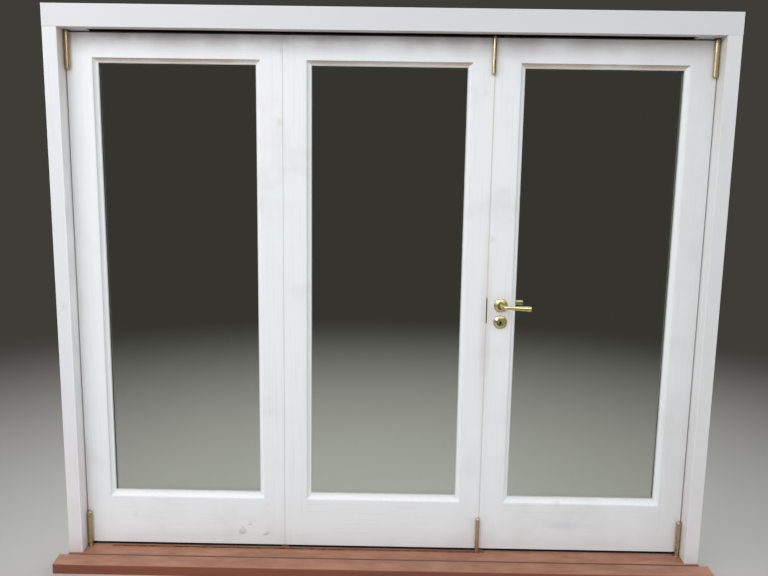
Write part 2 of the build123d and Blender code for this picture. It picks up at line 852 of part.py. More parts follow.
def turned_rose(z, side):
    """Round rose with a low rim, a step and a coned boss, on the outer (-1) or inner (1) face of the leaf."""
    face = leaf_face if side < 0 else leaf_back
    shoulder = rose_radius - rose_step
    profile = make_face(Polyline((0, 0), (rose_radius, 0), (rose_radius, rose_edge), (shoulder, rose_edge),
                                 (rose_boss, rose_thick), (0, rose_thick), close=True))
    rose = revolve(Plane.XZ * profile, Axis.Z)
    return Pos(lock_x, face, z) * Rot(-90 * side, 0, 0) * rose


def lever_roses():
    """The two roses round the spindle, bored for the necks of the levers."""
    bore = cross_rod(lock_x, -through, through, lever_height, lever_neck + neck_clearance)
    return group([turned_rose(lever_height, side) - bore for side in (-1, 1)])


def key_escutcheons():
    """The two key escutcheons, pierced with the keyhole."""
    hole = key_hole(-through, through)
    return group([turned_rose(key_height, side) - hole for side in (-1, 1)])


def spindle():
    """Square bar through the lock that joins the two levers."""
    half = spindle_size / 2
    reach = rose_thick + spindle_grip
    return block(lock_x - half, lock_x + half, leaf_face - reach, leaf_back + reach,
                 lever_height - half, lever_height + half)


def lever_bar():
    """Bar of a lever along +X from its bend: it swells to a rounded nose, and its upper edge stays level."""
    length = lever_length - lever_bend
    nose = length - lever_nose
    flat = lever_end - lever_nose
    outline = [Polyline((length, flat), (length, 0), (0, 0), (0, lever_root), (nose, lever_end)),
               CenterArc((nose, flat), lever_nose, 0, 90)]
    bar = revolve(make_face(outline), Axis.X)
    return Rot(0, degrees(atan2(lever_end - lever_root, nose)), 0) * bar


def lever(side):
    """Lever with a coned neck, a round bend and a bar that swells towards its rounded end."""
    face = leaf_face if side < 0 else leaf_back
    axis_y = face + side * lever_reach
    bend_y = axis_y - side * lever_bend
    neck_y = face + side * neck_lift
    neck = Pos(lock_x, (neck_y + bend_y) / 2, lever_height) * Rot(-90 * side, 0, 0) * Cone(
        lever_neck, lever_root, abs(bend_y - neck_y))
    ring = Face(Wire(Edge.make_circle(lever_root, Plane((lock_x, bend_y, lever_height), z_dir=(0, 1, 0)))))
    turn = Axis((lock_x + lever_bend, bend_y, lever_height), (0, 0, -side))
    bend = revolve(ring, turn, 90)
    knuckle = Pos(lock_x + lever_bend, axis_y, lever_height)
    handle = neck + bend + knuckle * Sphere(lever_root) + knuckle * lever_bar()
    half = spindle_size / 2
    socket = block(lock_x - half, lock_x + half, face, face + side * (rose_thick + spindle_grip),
                   lever_height - half, lever_height + half)
    return handle - socket


def lock_cuts():
    """Openings of the lock in its stile."""
    return [lock_pocket(), cross_rod(lock_x, 0, through, lever_height, hub_radius), key_hole(0, through)]


# Flush bolts

def flush_plate_span(end):
    """Lower and upper end of the plate of the lower (0) or upper (1) flush bolt."""
    if end == 0:
        return leaf_bottom + flush_plate_end, leaf_bottom + flush_plate_end + flush_plate_height
    return leaf_top - flush_plate_end - flush_plate_height, leaf_top - flush_plate_end


def flush_slot(end, grow=0.0):
    """Slot in the plate that the knob slides in."""
    z0, z1 = flush_plate_span(end)
    middle = (z0 + z1) / 2
    half = flush_travel / 2 + flush_knob_radius + flush_slot_clearance + grow
    width = flush_knob_radius + flush_slot_clearance + grow
    return block(flush_x - width, flush_x + width, flush_y, leaf_back + past_face,
                 middle - half, middle + half)


def flush_plate(end):
    """Plate of one flush bolt before its slot is cut, let into the inner face of the middle leaf."""
    z0, z1 = flush_plate_span(end)
    half = flush_plate_width / 2
    plate = block(flush_x - half, flush_x + half, leaf_back - flush_plate_thick, leaf_back, z0, z1)
    return fillet(plate.edges().filter_by(Axis.Y), flush_corner)


def flush_bolt_plates():
    """Slotted plates of the two flush bolts."""
    return group([flush_plate(end) - flush_slot(end) for end in (0, 1)])


def flush_bolt(end):
    """Round bolt with its knob, drawn back inside the leaf."""
    z0, z1 = flush_plate_span(end)
    middle = (z0 + z1) / 2
    way = 1 if end == 1 else -1
    knob_z = middle - way * flush_travel / 2
    tip = (leaf_top - flush_end_gap) if end == 1 else (leaf_bottom + flush_end_gap)
    bolt = rod(flush_x, flush_y, knob_z - way * (flush_knob_radius + flush_tail), tip, flush_rod)
    return bolt + cross_rod(flush_x, flush_y, leaf_back + flush_knob_proud, knob_z, flush_knob_radius)


def flush_bolt_cuts():
    """Bores, slots and plate recesses for the flush bolts."""
    cuts = []
    for end in (0, 1):
        z0, z1 = flush_plate_span(end)
        way = 1 if end == 1 else -1
        mouth = leaf_top + past_face if end == 1 else leaf_bottom - past_face
        reach = flush_travel / 2 + flush_knob_radius + flush_tail + flush_bore_gap
        inner = (z0 + z1) / 2 - way * reach
        cuts.append(rod(flush_x, flush_y, mouth, inner, flush_rod + running_fit))
        cuts.append(flush_slot(end, flush_slot_clearance / 2))
        cuts.append(flush_plate(end))
    return cuts


# Seam seals

def fold_seal():
    """Soft strip on the edge of leaf 1 that fills the seam to leaf 2."""
    y0 = leaf_face + seam_seal_setback
    return block(leaf_1_right, leaf_2_left - seam_seal_clearance, y0, y0 + seam_seal_depth,
                 leaf_bottom + seam_seal_end_gap, leaf_top - seam_seal_end_gap)


def meeting_seal():
    """Soft strips on the edge of leaf 3 that fill the seam to leaf 2 above and below the keep."""
    y0 = leaf_face + seam_seal_setback
    x0 = leaf_2_right + seam_seal_clearance
    slit_low = lever_height - keep_slit_height / 2 - keep_slit_drop
    slit_high = slit_low + keep_slit_height
    spans = [(leaf_bottom + seam_seal_end_gap, slit_low), (slit_high, leaf_top - seam_seal_end_gap)]
    return group([block(x0, leaf_3_left, y0, y0 + seam_seal_depth, low, high) for low, high in spans])


# Assembly

def cut(piece, cutters):
    """A piece less each of its cutters."""
    for cutter in cutters:
        piece -= cutter
    return piece


def build_leaf(name, x0, x1, left_stile, right_stile, left_cuts, right_cuts):
    """Timbers and glazing of one leaf, with the cuts for the hardware in its stiles."""
    shoulder_left, shoulder_right = x0 + left_stile, x1 - right_stile
    tenons = tenon_heights()
    top_rail_piece = leaf_rail(shoulder_left, shoulder_right, leaf_top, upper_rail_bottom, tenons[2:])
    bottom_rail_piece = leaf_rail(shoulder_left, shoulder_right, leaf_bottom, lower_rail_top, tenons[:2])
    save(cut(leaf_stile(x0, shoulder_left), left_cuts), f"{name}_leaf_left_stile")
    save(cut(leaf_stile(x1, shoulder_right), right_cuts), f"{name}_leaf_right_stile")
    save(top_rail_piece, f"{name}_leaf_top_rail")
    save(bottom_rail_piece, f"{name}_leaf_bottom_rail")
    save(glazing_beads(shoulder_left, shoulder_right), f"{name}_leaf_beads")
    save(pane(shoulder_left, shoulder_right, pane_front), f"{name}_leaf_outer_pane")
    save(pane(shoulder_left, shoulder_right, inner_pane_front), f"{name}_leaf_inner_pane")
    save(pane_spacer(shoulder_left, shoulder_right), f"{name}_leaf_spacer")


def build_frame():
    """Everything that stays still."""
    save(frame_head(), "frame_head")
    save(head_stop(), "head_stop")
    save(jamb(-1), "left_jamb")
    save(jamb(1), "right_jamb")
    save(sill(), "sill")
    save(weather_bar(), "weather_bar")
    save(sill_nosing(), "sill_nosing")
    save(top_track(), "top_track")
    save(guide_channel(), "guide_channel")
    save(frame_seals(), "frame_seals")
    save(pivot_bushes(), "pivot_bushes")
    save(pivot_pins(), "pivot_pins")


def build_leaves():
    """The three leaves with the hardware fixed to each."""
    keep_cuts = [strike_block(past_face), keep_pockets()]
    build_leaf("left", left_edge, leaf_1_right, jamb_stile, left_fold_stile, edge_plates(left_edge, 1), [])
    build_leaf("middle", leaf_2_left, leaf_2_right, middle_fold_stile, carrier_stile, flush_bolt_cuts(),
               edge_plates(leaf_2_right, -1) + keep_cuts)
    build_leaf("right", leaf_3_left, right_edge, lock_stile, jamb_stile, lock_cuts(),
               edge_plates(right_edge, -1))
    save(pivot_barrels(left_pivot, left_edge, 1), "left_pivot_barrels")
    save(pivot_barrels(right_pivot, right_edge, -1), "right_pivot_barrels")
    save(pivot_barrels(carrier_x, leaf_2_right, -1), "carrier_barrels")
    save(fold_plates(leaf_1_right, -1, (0, 2)), "left_fold_plates")
    save(fold_plates(leaf_2_left, 1, (1,)), "middle_fold_plates")
    save(fold_pins(), "fold_pins")
    save(fold_seal(), "fold_seal")
    save(meeting_seal(), "meeting_seal")


def build_hardware():
    """Carrier, lock and bolts."""
    save(trolley_body(), "trolley_body")
    save(trolley_wheels(-1), "left_trolley_wheels")
    save(trolley_wheels(1), "right_trolley_wheels")
    save(guide_pin(), "guide_pin")
    save(lock_case(), "lock_case")
    save(latch_bolt(), "latch_bolt")
    save(dead_bolt(), "dead_bolt")
    save(strike_plate(), "strike_plate")
    save(lever(-1), "outer_lever")
    save(lever(1), "inner_lever")
    save(spindle(), "spindle")
    save(lever_roses(), "lever_roses")
    save(key_escutcheons(), "key_escutcheons")
    save(flush_bolt_plates(), "flush_bolt_plates")
    save(flush_bolt(1), "upper_flush_bolt")
    save(flush_bolt(0), "lower_flush_bolt")


build_frame()
build_leaves()
build_hardware()
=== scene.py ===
from math import cos, pi, sin

import bpy
from bpy.props import FloatProperty, FloatVectorProperty, PointerProperty
from mathutils import Euler, Matrix, Vector


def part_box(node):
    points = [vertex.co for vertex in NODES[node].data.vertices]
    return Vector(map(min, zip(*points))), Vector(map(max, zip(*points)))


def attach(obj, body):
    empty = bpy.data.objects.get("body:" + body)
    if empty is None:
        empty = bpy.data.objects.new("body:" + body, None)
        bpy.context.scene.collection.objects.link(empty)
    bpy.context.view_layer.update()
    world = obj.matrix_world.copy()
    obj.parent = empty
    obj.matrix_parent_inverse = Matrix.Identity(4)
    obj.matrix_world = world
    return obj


bl_info = {
    "name": "Folding Door Set",
    "version": (1, 0, 0),
    "blender": (4, 5, 0),
    "location": "View3D > Sidebar > Door Set",
    "description": "Finishes, fixings and stage of a three-leaf glazed folding door set",
    "category": "Object",
}

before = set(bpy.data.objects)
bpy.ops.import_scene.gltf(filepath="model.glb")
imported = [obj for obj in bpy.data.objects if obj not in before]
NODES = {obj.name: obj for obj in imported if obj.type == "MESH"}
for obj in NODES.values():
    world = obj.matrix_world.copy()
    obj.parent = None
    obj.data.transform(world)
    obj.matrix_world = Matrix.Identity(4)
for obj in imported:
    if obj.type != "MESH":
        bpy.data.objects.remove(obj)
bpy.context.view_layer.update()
LEAVES = ("left", "middle", "right")
MM = 0.001

# Places that the marks and the small fixings are set out from, in metres
LEAF_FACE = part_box("left_leaf_left_stile")[0].y
LEAF_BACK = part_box("left_leaf_left_stile")[1].y
LEAF_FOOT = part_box("left_leaf_left_stile")[0].z
LEAF_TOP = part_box("left_leaf_left_stile")[1].z
TRACK_END = 0.090
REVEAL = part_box("top_track")[1].x + TRACK_END
KEYHOLE = (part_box("key_escutcheons")[0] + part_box("key_escutcheons")[1]) / 2
SPINDLE = (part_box("spindle")[0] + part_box("spindle")[1]) / 2
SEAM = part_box("meeting_seal")[0].x
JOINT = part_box("sill")[0].y

# Sizes of the pieces that carry the screws, and how far the screws stand from their middles or edges
FOLD_PLATE_HEIGHT = 0.096
FOLD_PLATE_THICK = 0.0025
FOLD_PLATE_SEAT = 0.0001
FOLD_SCREW_STEP = 0.032
LEFT_SCREW_INSET = 0.011
MIDDLE_SCREW_INSET = 0.014
BARREL_LENGTH = 0.127
BARREL_SCREW_STEP = 0.042
BARREL_SCREW_DEPTH = 0.020
FOREND_SCREW_STEP = 0.100
KEEP_SCREW_STEP = 0.022
FLUSH_PLATE_HEIGHT = 0.160
FLUSH_SCREW_STEP = 0.068
NECK_RADIUS = 0.0062
NECK_STANDOFF = 0.018
GRUB_DEPTH = 0.004
GRUB_SOCKET = 0.0016

# Widths of the glazing beads round the pane: outside at the sides, at the head and at the foot, and inside
OUTER_BEAD = 0.018
OUTER_HEAD_BEAD = 0.016
OUTER_FOOT_BEAD = 0.025
INNER_BEAD = 0.016


def linear(code):
    """Turn an sRGB hex value into the linear colour that a shader takes."""
    channels = [int(code[i:i + 2], 16) / 255 for i in (1, 3, 5)]
    return tuple(c / 12.92 if c <= 0.04045 else ((c + 0.055) / 1.055) ** 2.4 for c in channels) + (1.0,)


def darker(shade, part):
    """A colour with only a part of its light."""
    return [channel * part for channel in shade[:3]] + [1.0]


def colour(name, description, code):
    """A colour setting with its default."""
    return FloatVectorProperty(name=name, description=description, subtype="COLOR", size=4, min=0, max=1,
                               default=linear(code))


def length(name, description, millimetres):
    """A length setting with its default."""
    return FloatProperty(name=name, description=description, subtype="DISTANCE", unit="LENGTH", min=0,
                         precision=4, default=millimetres / 1000)


def share(name, description, default):
    """A setting from 0 to 1."""
    return FloatProperty(name=name, description=description, subtype="FACTOR", min=0, max=1, default=default)


class DoorFinishes(bpy.types.PropertyGroup):
    """Colours and roughness of the door set's finishes."""
    paint: colour("Undercoat", "White undercoat on the timber", "#e8e9ea")
    paint_jamb: colour("Jamb undercoat", "Duller coat on the front of the jambs", "#dcdcde")
    paint_head: colour("Head undercoat", "Older, greyer coat on the head of the frame", "#d2d1d4")
    # Also painted shade: laid on the right jamb and towards the right of the set, besides showing the grain
    # through a thin coat.
    paint_thin_and_shade: colour("Thin undercoat", "Where the coat is thin and the grain grins through", "#d4d2d1")
    # Also painted shadow: this grey is laid under the head as the head's shade; in the small smudges it is
    # grime.
    paint_grime_and_shade: colour("Grime", "Grey film under the head, and small smudges", "#9c9392")
    # Also painted shade: laid on faces that look down and high in the jamb reveals; elsewhere it is real
    # soiling.
    paint_soiled_and_shade: colour("Soiled undercoat", "Handling marks and bare tan patches", "#b59f8b")
    # Painted light: a lighter tint that lifts the shade on the inner faces of the jambs.
    paint_reveal_light: colour("Fresh undercoat", "Second coat on the inner faces of the jambs", "#f3f5f4")
    # Painted light and shade: warm light bounced off the brick, laid pinker and darker towards the foot.
    paint_brick_bounce: colour("Rosy undercoat", "Brick dust low down on the white", "#d6cbcc")
    paint_smear: colour("Smear", "Bluish smear on the right bottom rail", "#a9adb8")
    knot: colour("Knot", "Resin that bleeds through the coat over a knot", "#c6bfb4")
    stain: colour("Sill stain", "Red-brown stain on the hardwood", "#82442f")
    stain_dark: colour("Sill grain", "Open pores that hold more stain", "#6d3c2c")
    joint_dirt: colour("Joint dirt", "Dirt and shadow in the joint of the sill", "#4a2a20")
    dust: colour("Building dust", "Pale dust trodden on to the sill", "#ae8268")
    brass: colour("Polished brass", "Levers, roses and escutcheons", "#dccd98")
    brass_dull: colour("Dull brass", "Hinge barrels, plates and bolts", "#c4b18c")
    tarnish: colour("Tarnish", "Brown film in patches of the brass", "#8a7650")
    # Painted shade: laid dark round the keyhole so that the keyhole reads dark.
    keyhole_shade: colour("Key scuffs", "Dark scuffs round the keyhole", "#2b1c0c")
    # Partly painted light: dust-brown, and lighter than the shaded slot of the channel would show.
    lightened_dusty: colour("Weathered brass", "Guide channel, brown with dust from the sill", "#a5694e")
    zinc: colour("Zinc plate", "Lock case, latch and dead bolt", "#a4a7aa")
    blackened: colour("Blackened steel", "Socket screws of the levers", "#3a3835")
    aluminium: colour("Mill aluminium", "Spacer bars, weather bar and trolley", "#b4b7b9")
    # Partly painted shade: this dark also stands for the shade in the slot of the head.
    track: colour("Dark track", "Dark anodised track in the head", "#2b2a29")
    nylon: colour("Nylon", "Trolley wheels", "#232323")
    # Partly painted shade: near black, so that the strip also stands for the shade in the gap under each
    # leaf.
    bristle_and_shade: colour("Bristle", "Black brush strip under each leaf", "#121112")
    bristle_worn: colour("Worn bristle", "Greyer bristles in the brush strips", "#2a2829")
    seal: colour("Seal", "Soft strips on the stops and in the seams", "#d5d4cf")
    sealant: colour("Sealant", "Line of sealant round the panes", "#c9c8c4")
    glass: colour("Float glass", "Faint green-grey tint of the panes", "#eceeea")
    paint_roughness: share("Undercoat roughness", "How matt the undercoat is", 0.55)
    stain_roughness: share("Stain roughness", "How matt the stained sill is", 0.6)
    brass_roughness: share("Brass roughness", "How matt the polished brass is", 0.22)


class DoorFixings(bpy.types.PropertyGroup):
    """Sizes of the screws, the glazing sealant and the brush strips."""
    screw_head: length("Screw head", "Diameter of a countersunk screw's head", 8.0)
    screw_slot: length("Screw slot", "Width of the slot in a screw's head", 1.1)
    screw_proud: length("Screw height", "How far a head stands above its plate", 0.35)
    grub_head: length("Grub screw", "Diameter of the socket screw in a lever's neck", 4.5)
    sealant: length("Sealant line", "Width of the sealant between a bead and its pane", 2.6)
    brush_height: length("Brush height", "How far the brush strip hangs under a leaf", 8.4)
    brush_width: length("Brush width", "Thickness of the brush strip at its root", 4.0)
    brush_set_back: length("Brush setback", "From the face of a leaf to the middle of its brush strip", 4.0)
    brush_end: length("Brush end", "From the edge of a leaf to the end of its brush strip", 14.0)
    brush_tuft: length("Brush tuft", "Width of a tuft of the brush strip", 20.0)


class DoorStage(bpy.types.PropertyGroup):
    """Camera, lamps and background."""
    camera_place: FloatVectorProperty(name="Camera", description="Where the camera stands", subtype="XYZ",
                                      unit="LENGTH", default=(0.0052, -2.2579, 1.3879))
    camera_yaw: FloatProperty(name="Yaw", description="Turn of the camera to the right", subtype="ANGLE",
                              unit="ROTATION", default=-0.0069)
    camera_pitch: FloatProperty(name="Pitch", description="Tilt of the camera downwards", subtype="ANGLE",
                                unit="ROTATION", default=0.1329)
    camera_roll: FloatProperty(name="Roll", description="Turn of the picture", subtype="ANGLE",
                               unit="ROTATION", default=0.0153)
    lens: FloatProperty(name="Lens", description="Focal length in millimetres on a 36 mm sensor", min=1,
                        default=29.71)
    floor: colour("Floor", "Pale floor under the door set", "#c9c6c0")
    floor_speckle: colour("Floor speckle", "Faint darker clouds in the floor", "#b5b1aa")
    backdrop: colour("Backdrop", "Plain grey background", "#3f3d38")
    sky: colour("Ambient", "Soft light from all round", "#eef2f6")
    ambient: FloatProperty(name="Ambient strength", description="Strength of the light from the horizon",
                           min=0, default=0.875)
    zenith: FloatProperty(name="Zenith strength", description="Strength of the light from overhead",
                          min=0, default=1.12)
    key_power: FloatProperty(name="Key lamp", description="Power of the large lamp on the left", unit="POWER",
                             min=0, default=101)
    front_power: FloatProperty(name="Front lamp", description="Power of the wide lamp that the brass mirrors",
                               unit="POWER", min=0, default=105)
    fill_power: FloatProperty(name="Fill lamp", description="Power of the lamp on the right", unit="POWER",
                              min=0, default=18)
    back_power: FloatProperty(name="Back lamp", description="Power of the lamp inside the building",
                              unit="POWER", min=0, default=60)


def add_node(tree, kind, inputs=None, output=0, **settings):
    """Add a shader node with its settings, fill inputs with values or links, and give one of its outputs."""
    node = tree.nodes.new("ShaderNode" + kind)
    for key, value in settings.items():
        setattr(node, key, value)
    for key, value in (inputs or {}).items():
        if isinstance(value, bpy.types.NodeSocket):
            tree.links.new(value, node.inputs[key])
        else:
            node.inputs[key].default_value = value
    return node.outputs[output] if len(node.outputs) else None


# Range nodes ease in and out; inputs 0 to 4 are the value, its start and end, and what these give
EASED = {"interpolation_type": "SMOOTHSTEP"}


def new_material(name):
    """An empty node material, its node tree and the piece's own coordinates."""
    material = bpy.data.materials.new(name)
    material.use_nodes = True
    tree = material.node_tree
    tree.nodes.clear()
    return material, tree, add_node(tree, "TexCoord", output="Object")


def close_surface(tree, inputs):
    """End a material with its surface and its output."""
    add_node(tree, "OutputMaterial", {"Surface": add_node(tree, "BsdfPrincipled", inputs)})


def tinted(tree, shade, tint, mask, strength):
    """A colour with a tint laid over it, as strongly as given, where a mask is 1."""
    amount = add_node(tree, "Math", {0: mask, 1: strength}, operation="MULTIPLY")
    return add_node(tree, "Mix", {0: amount, 6: shade, 7: tint}, 2, data_type="RGBA")


def streaks(tree, place, way, size, inputs):
    """Noise drawn out along an axis; size gives the width and the length of a streak."""
    width, run = size
    scale = [1 / width] * 3
    scale["XYZ".index(way)] = 1 / run
    drawn_out = add_node(tree, "Mapping", {"Vector": place, "Scale": scale})
    return add_node(tree, "TexNoise", {"Vector": drawn_out, "Scale": 1.0, **inputs})


def along(tree, place, way, start, end):
    """A mask that eases from 0 at start to 1 at end along an axis."""
    reach = add_node(tree, "SeparateXYZ", {0: place}, way)
    return add_node(tree, "MapRange", {0: reach, 1: start, 2: end}, **EASED)


def off_line(tree, place, way, line, start, end):
    """A mask that eases from 0 to 1 between two distances from a line across an axis."""
    reach = add_node(tree, "SeparateXYZ", {0: place}, way)
    off = add_node(tree, "Math", {0: reach, 1: line}, operation="SUBTRACT")
    off = add_node(tree, "Math", {0: off}, operation="ABSOLUTE")
    return add_node(tree, "MapRange", {0: off, 1: start, 2: end}, **EASED)


def near(tree, place, centre, radius):
    """A mask that is 1 at a point and 0 from radius metres on."""
    span = add_node(tree, "VectorMath", {0: place, 1: centre}, "Value", operation="DISTANCE")
    return add_node(tree, "MapRange", {0: span, 1: radius, 2: 0.0}, **EASED)


# Undercoated softwood: white brushed undercoat, matt, with the grain of the redwood faint under it, knots
# that bleed through, a tan film where hands and rain have been, and painted light and shade laid on as marks.
GRAIN = (7 * MM, 300 * MM)
BRUSHING = (2.5 * MM, 300 * MM)
KNOT_SPACING = 260 * MM
KNOT_SHIFT = (0.37, 0.11, 0)
BLOTCH = 160 * MM


def undercoated_timber(finishes, name, way, marks, coat=None):
    """Painted timber, its grain along an axis; each mark is a function that places it, a strength, a tint."""
    material, tree, place = new_material(name)
    grain = streaks(tree, place, way, GRAIN, {"Detail": 5.0, "Roughness": 0.6, "Distortion": 0.4})
    brush = streaks(tree, place, way, BRUSHING, {"Detail": 2.0})
    blotch = add_node(tree, "TexNoise", {"Vector": place, "Scale": 1 / BLOTCH, "Detail": 4.0,
                                         "Roughness": 0.55})
    # Knots run through the board from face to face, so they are set out in X and Z alone, one in a few cells.
    knot_place = add_node(tree, "Mapping", {"Vector": place, "Rotation": (pi / 2, 0, 0),
                                            "Scale": [1 / KNOT_SPACING] * 3, "Location": KNOT_SHIFT})
    from_knot = add_node(tree, "TexVoronoi", {"Vector": knot_place, "Scale": 1.0, "Randomness": 1.0},
                         "Distance", voronoi_dimensions="2D")
    ragged = add_node(tree, "Math", {0: grain, 1: 0.12, 2: from_knot}, operation="MULTIPLY_ADD")
    core = add_node(tree, "MapRange", {0: ragged, 1: 0.125, 2: 0.065}, **EASED)
    few = along(tree, from_knot.node.outputs["Color"], "X", 0.55, 0.75)
    knot = add_node(tree, "Math", {0: core, 1: few}, operation="MULTIPLY")
    thin = add_node(tree, "MapRange", {0: grain, 1: 0.50, 2: 0.78}, **EASED)
    cloudy = add_node(tree, "MapRange", {0: blotch, 1: 0.52, 2: 0.80}, **EASED)
    uneven = add_node(tree, "MapRange", {0: blotch, 1: 0.30, 2: 0.62, 3: 0.55}, **EASED)
    shade = tinted(tree, coat or finishes.paint, finishes.paint_thin_and_shade, thin, 0.45)
    shade = tinted(tree, shade, finishes.paint_thin_and_shade, cloudy, 0.45)
    shade = tinted(tree, shade, finishes.knot, knot, 0.35)
    for mark, strength, tint in marks:
        mask = add_node(tree, "Math", {0: mark(tree, place), 1: uneven}, operation="MULTIPLY")
        shade = tinted(tree, shade, tint, mask, strength)
    height = add_node(tree, "Math", {0: grain, 1: 1.5, 2: brush}, operation="MULTIPLY_ADD")
    bump = add_node(tree, "Bump", {"Height": height, "Strength": 0.25, "Distance": 0.0004})
    rough = add_node(tree, "MapRange", {0: grain, 1: 0.3, 2: 0.7, 3: finishes.paint_roughness - 0.08,
                                        4: finishes.paint_roughness + 0.08}, **EASED)
    close_surface(tree, {"Base Color": shade, "Roughness": rough, "Specular IOR Level": 0.4, "Normal": bump})
    return material


# How far the marks on the undercoat reach; a pair is where a mark is full and where it has faded out
HEAD_SHADOW_DROP = 90 * MM
SPLASH_UP = 90 * MM
SPLASH_DOWN = 20 * MM
BRICK_BOUNCE_SHARE = 0.6
REVEAL_EDGE = (1 * MM, 4 * MM)
REVEAL_TAN_DROP = 450 * MM
RIGHT_JAMB_EDGE = (2 * MM, 20 * MM)
LEVER_MARKS = 110 * MM
SEAM_MARKS = (4 * MM, 30 * MM)
SEAM_MARKS_DROP = 100 * MM
SEAM_MARKS_REACH = 450 * MM
OUTER_EDGE = (6 * MM, 30 * MM)


def under_head(tree, place):
    """Painted shadow: grey laid on the leaves just under the head, where the head shades them."""
    return along(tree, place, "Z", LEAF_TOP - HEAD_SHADOW_DROP, LEAF_TOP)


def by_the_sill(tree, place):
    """Splash marks at the foot of the jambs and leaves."""
    return along(tree, place, "Z", LEAF_FOOT + SPLASH_UP, LEAF_FOOT - SPLASH_DOWN)


def low_down(tree, place):
    """Painted light and shade: pinker and darker towards the foot of the frame and leaves, for light bounced
    off the brick.
    """
    return along(tree, place, "Z", LEAF_TOP * BRICK_BOUNCE_SHARE, LEAF_FOOT)


def in_the_reveal(tree, place):
    """The inner faces of the jambs, where a lighter tint is laid as painted light that lifts their shade."""
    full, gone = REVEAL_EDGE
    return off_line(tree, place, "X", 0.0, REVEAL + gone, REVEAL + full)


def high_in_the_reveal(tree, place):
    """Tan at the top of the inner faces of the jambs: partly bare timber, partly painted shade under the
    head.
    """
    high = along(tree, place, "Z", LEAF_TOP - REVEAL_TAN_DROP, LEAF_TOP)
    return add_node(tree, "Math", {0: in_the_reveal(tree, place), 1: high}, operation="MULTIPLY")


# X, Z and radius of the smudges at the foot of the left leaf, and the size and reach of their ragged edges
SMUDGES = ((-0.517, 0.153, 0.014), (-0.540, 0.116, 0.020), (-0.450, 0.113, 0.018))
SMUDGE_GRAIN = 20 * MM
RAGGED = Vector((50 * MM, 50 * MM, 50 * MM))


def low_on_the_left_leaf(tree, place):
    """Small ragged smudges at the foot of the left leaf."""
    cloud = add_node(tree, "TexNoise", {"Vector": place, "Scale": 1 / SMUDGE_GRAIN, "Detail": 3.0}, "Color")
    pushed = add_node(tree, "VectorMath", {0: cloud, 1: RAGGED, 2: place}, operation="MULTIPLY_ADD")
    mask = 0.0
    for x, z, radius in SMUDGES:
        spot = near(tree, pushed, Vector((x, LEAF_FACE, z)) + RAGGED / 2, radius)
        mask = add_node(tree, "Math", {0: mask, 1: spot}, operation="MAXIMUM")
    return mask


# The smear on the right leaf's bottom rail: its middle in X and Z, its reach, and how flat it is
SMEAR_X = 0.697
SMEAR_Z = 0.169
SMEAR_REACH = 0.10
SMEAR_FLATNESS = 3.0


def on_the_right_rail(tree, place):
    """A bluish smear along the grain of the bottom rail of the right leaf."""
    flattened = add_node(tree, "Mapping", {"Vector": place, "Scale": (1.0, 1.0, SMEAR_FLATNESS)})
    return near(tree, flattened, (SMEAR_X, LEAF_FACE, SMEAR_Z * SMEAR_FLATNESS), SMEAR_REACH)


def under_side(tree, place):
    """Faces that look down, where the tan laid is painted shade, warm with light bounced from below."""
    return along(tree, add_node(tree, "TexCoord", output="Normal"), "Z", -0.25, -0.85)


def under_the_moulding(tree, place):
    """The moulded faces of the beads that look down even a little, where the tan laid is painted shade."""
    return along(tree, add_node(tree, "TexCoord", output="Normal"), "Z", -0.05, -0.30)


def shade_on_right_jamb(tree, place):
    """Painted shade: the right jamb made duller."""
    full, gone = RIGHT_JAMB_EDGE
    return along(tree, place, "X", REVEAL - gone, REVEAL - full)


def shade_to_the_right(tree, place):
    """Painted shade: a duller tint that grows towards the right of the set."""
    return along(tree, place, "X", SEAM, REVEAL)


def by_the_lever(tree, place):
    """Finger marks round the lever and the key."""
    return near(tree, place, (KEYHOLE.x, LEAF_FACE, (KEYHOLE.z + SPINDLE.z) / 2), LEVER_MARKS)


def along_the_seam(tree, place):
    """Finger marks along the seam beside the lock."""
    full, gone = SEAM_MARKS
    beside = off_line(tree, place, "X", SEAM, gone, full)
    within = near(tree, place, (SEAM, LEAF_FACE, SPINDLE.z - SEAM_MARKS_DROP), SEAM_MARKS_REACH)
    return add_node(tree, "Math", {0: beside, 1: within}, operation="MULTIPLY")


def outer_edges(tree, place):
    """Handled edges of the two outer leaves beside the jambs."""
    full, gone = OUTER_EDGE
    return off_line(tree, place, "X", 0.0, REVEAL - gone, REVEAL - full)


# Stained sapele: widths and lengths of its pores, of its figure and of the streaks of dust on it, and how far
# from the joint's line the dirt is full and has faded out
PORES = (3 * MM, 90 * MM)
FIGURE = (22 * MM, 500 * MM)
DUST_STREAKS = (30 * MM, 120 * MM)
JOINT_LINE = (1.5 * MM, 4.5 * MM)


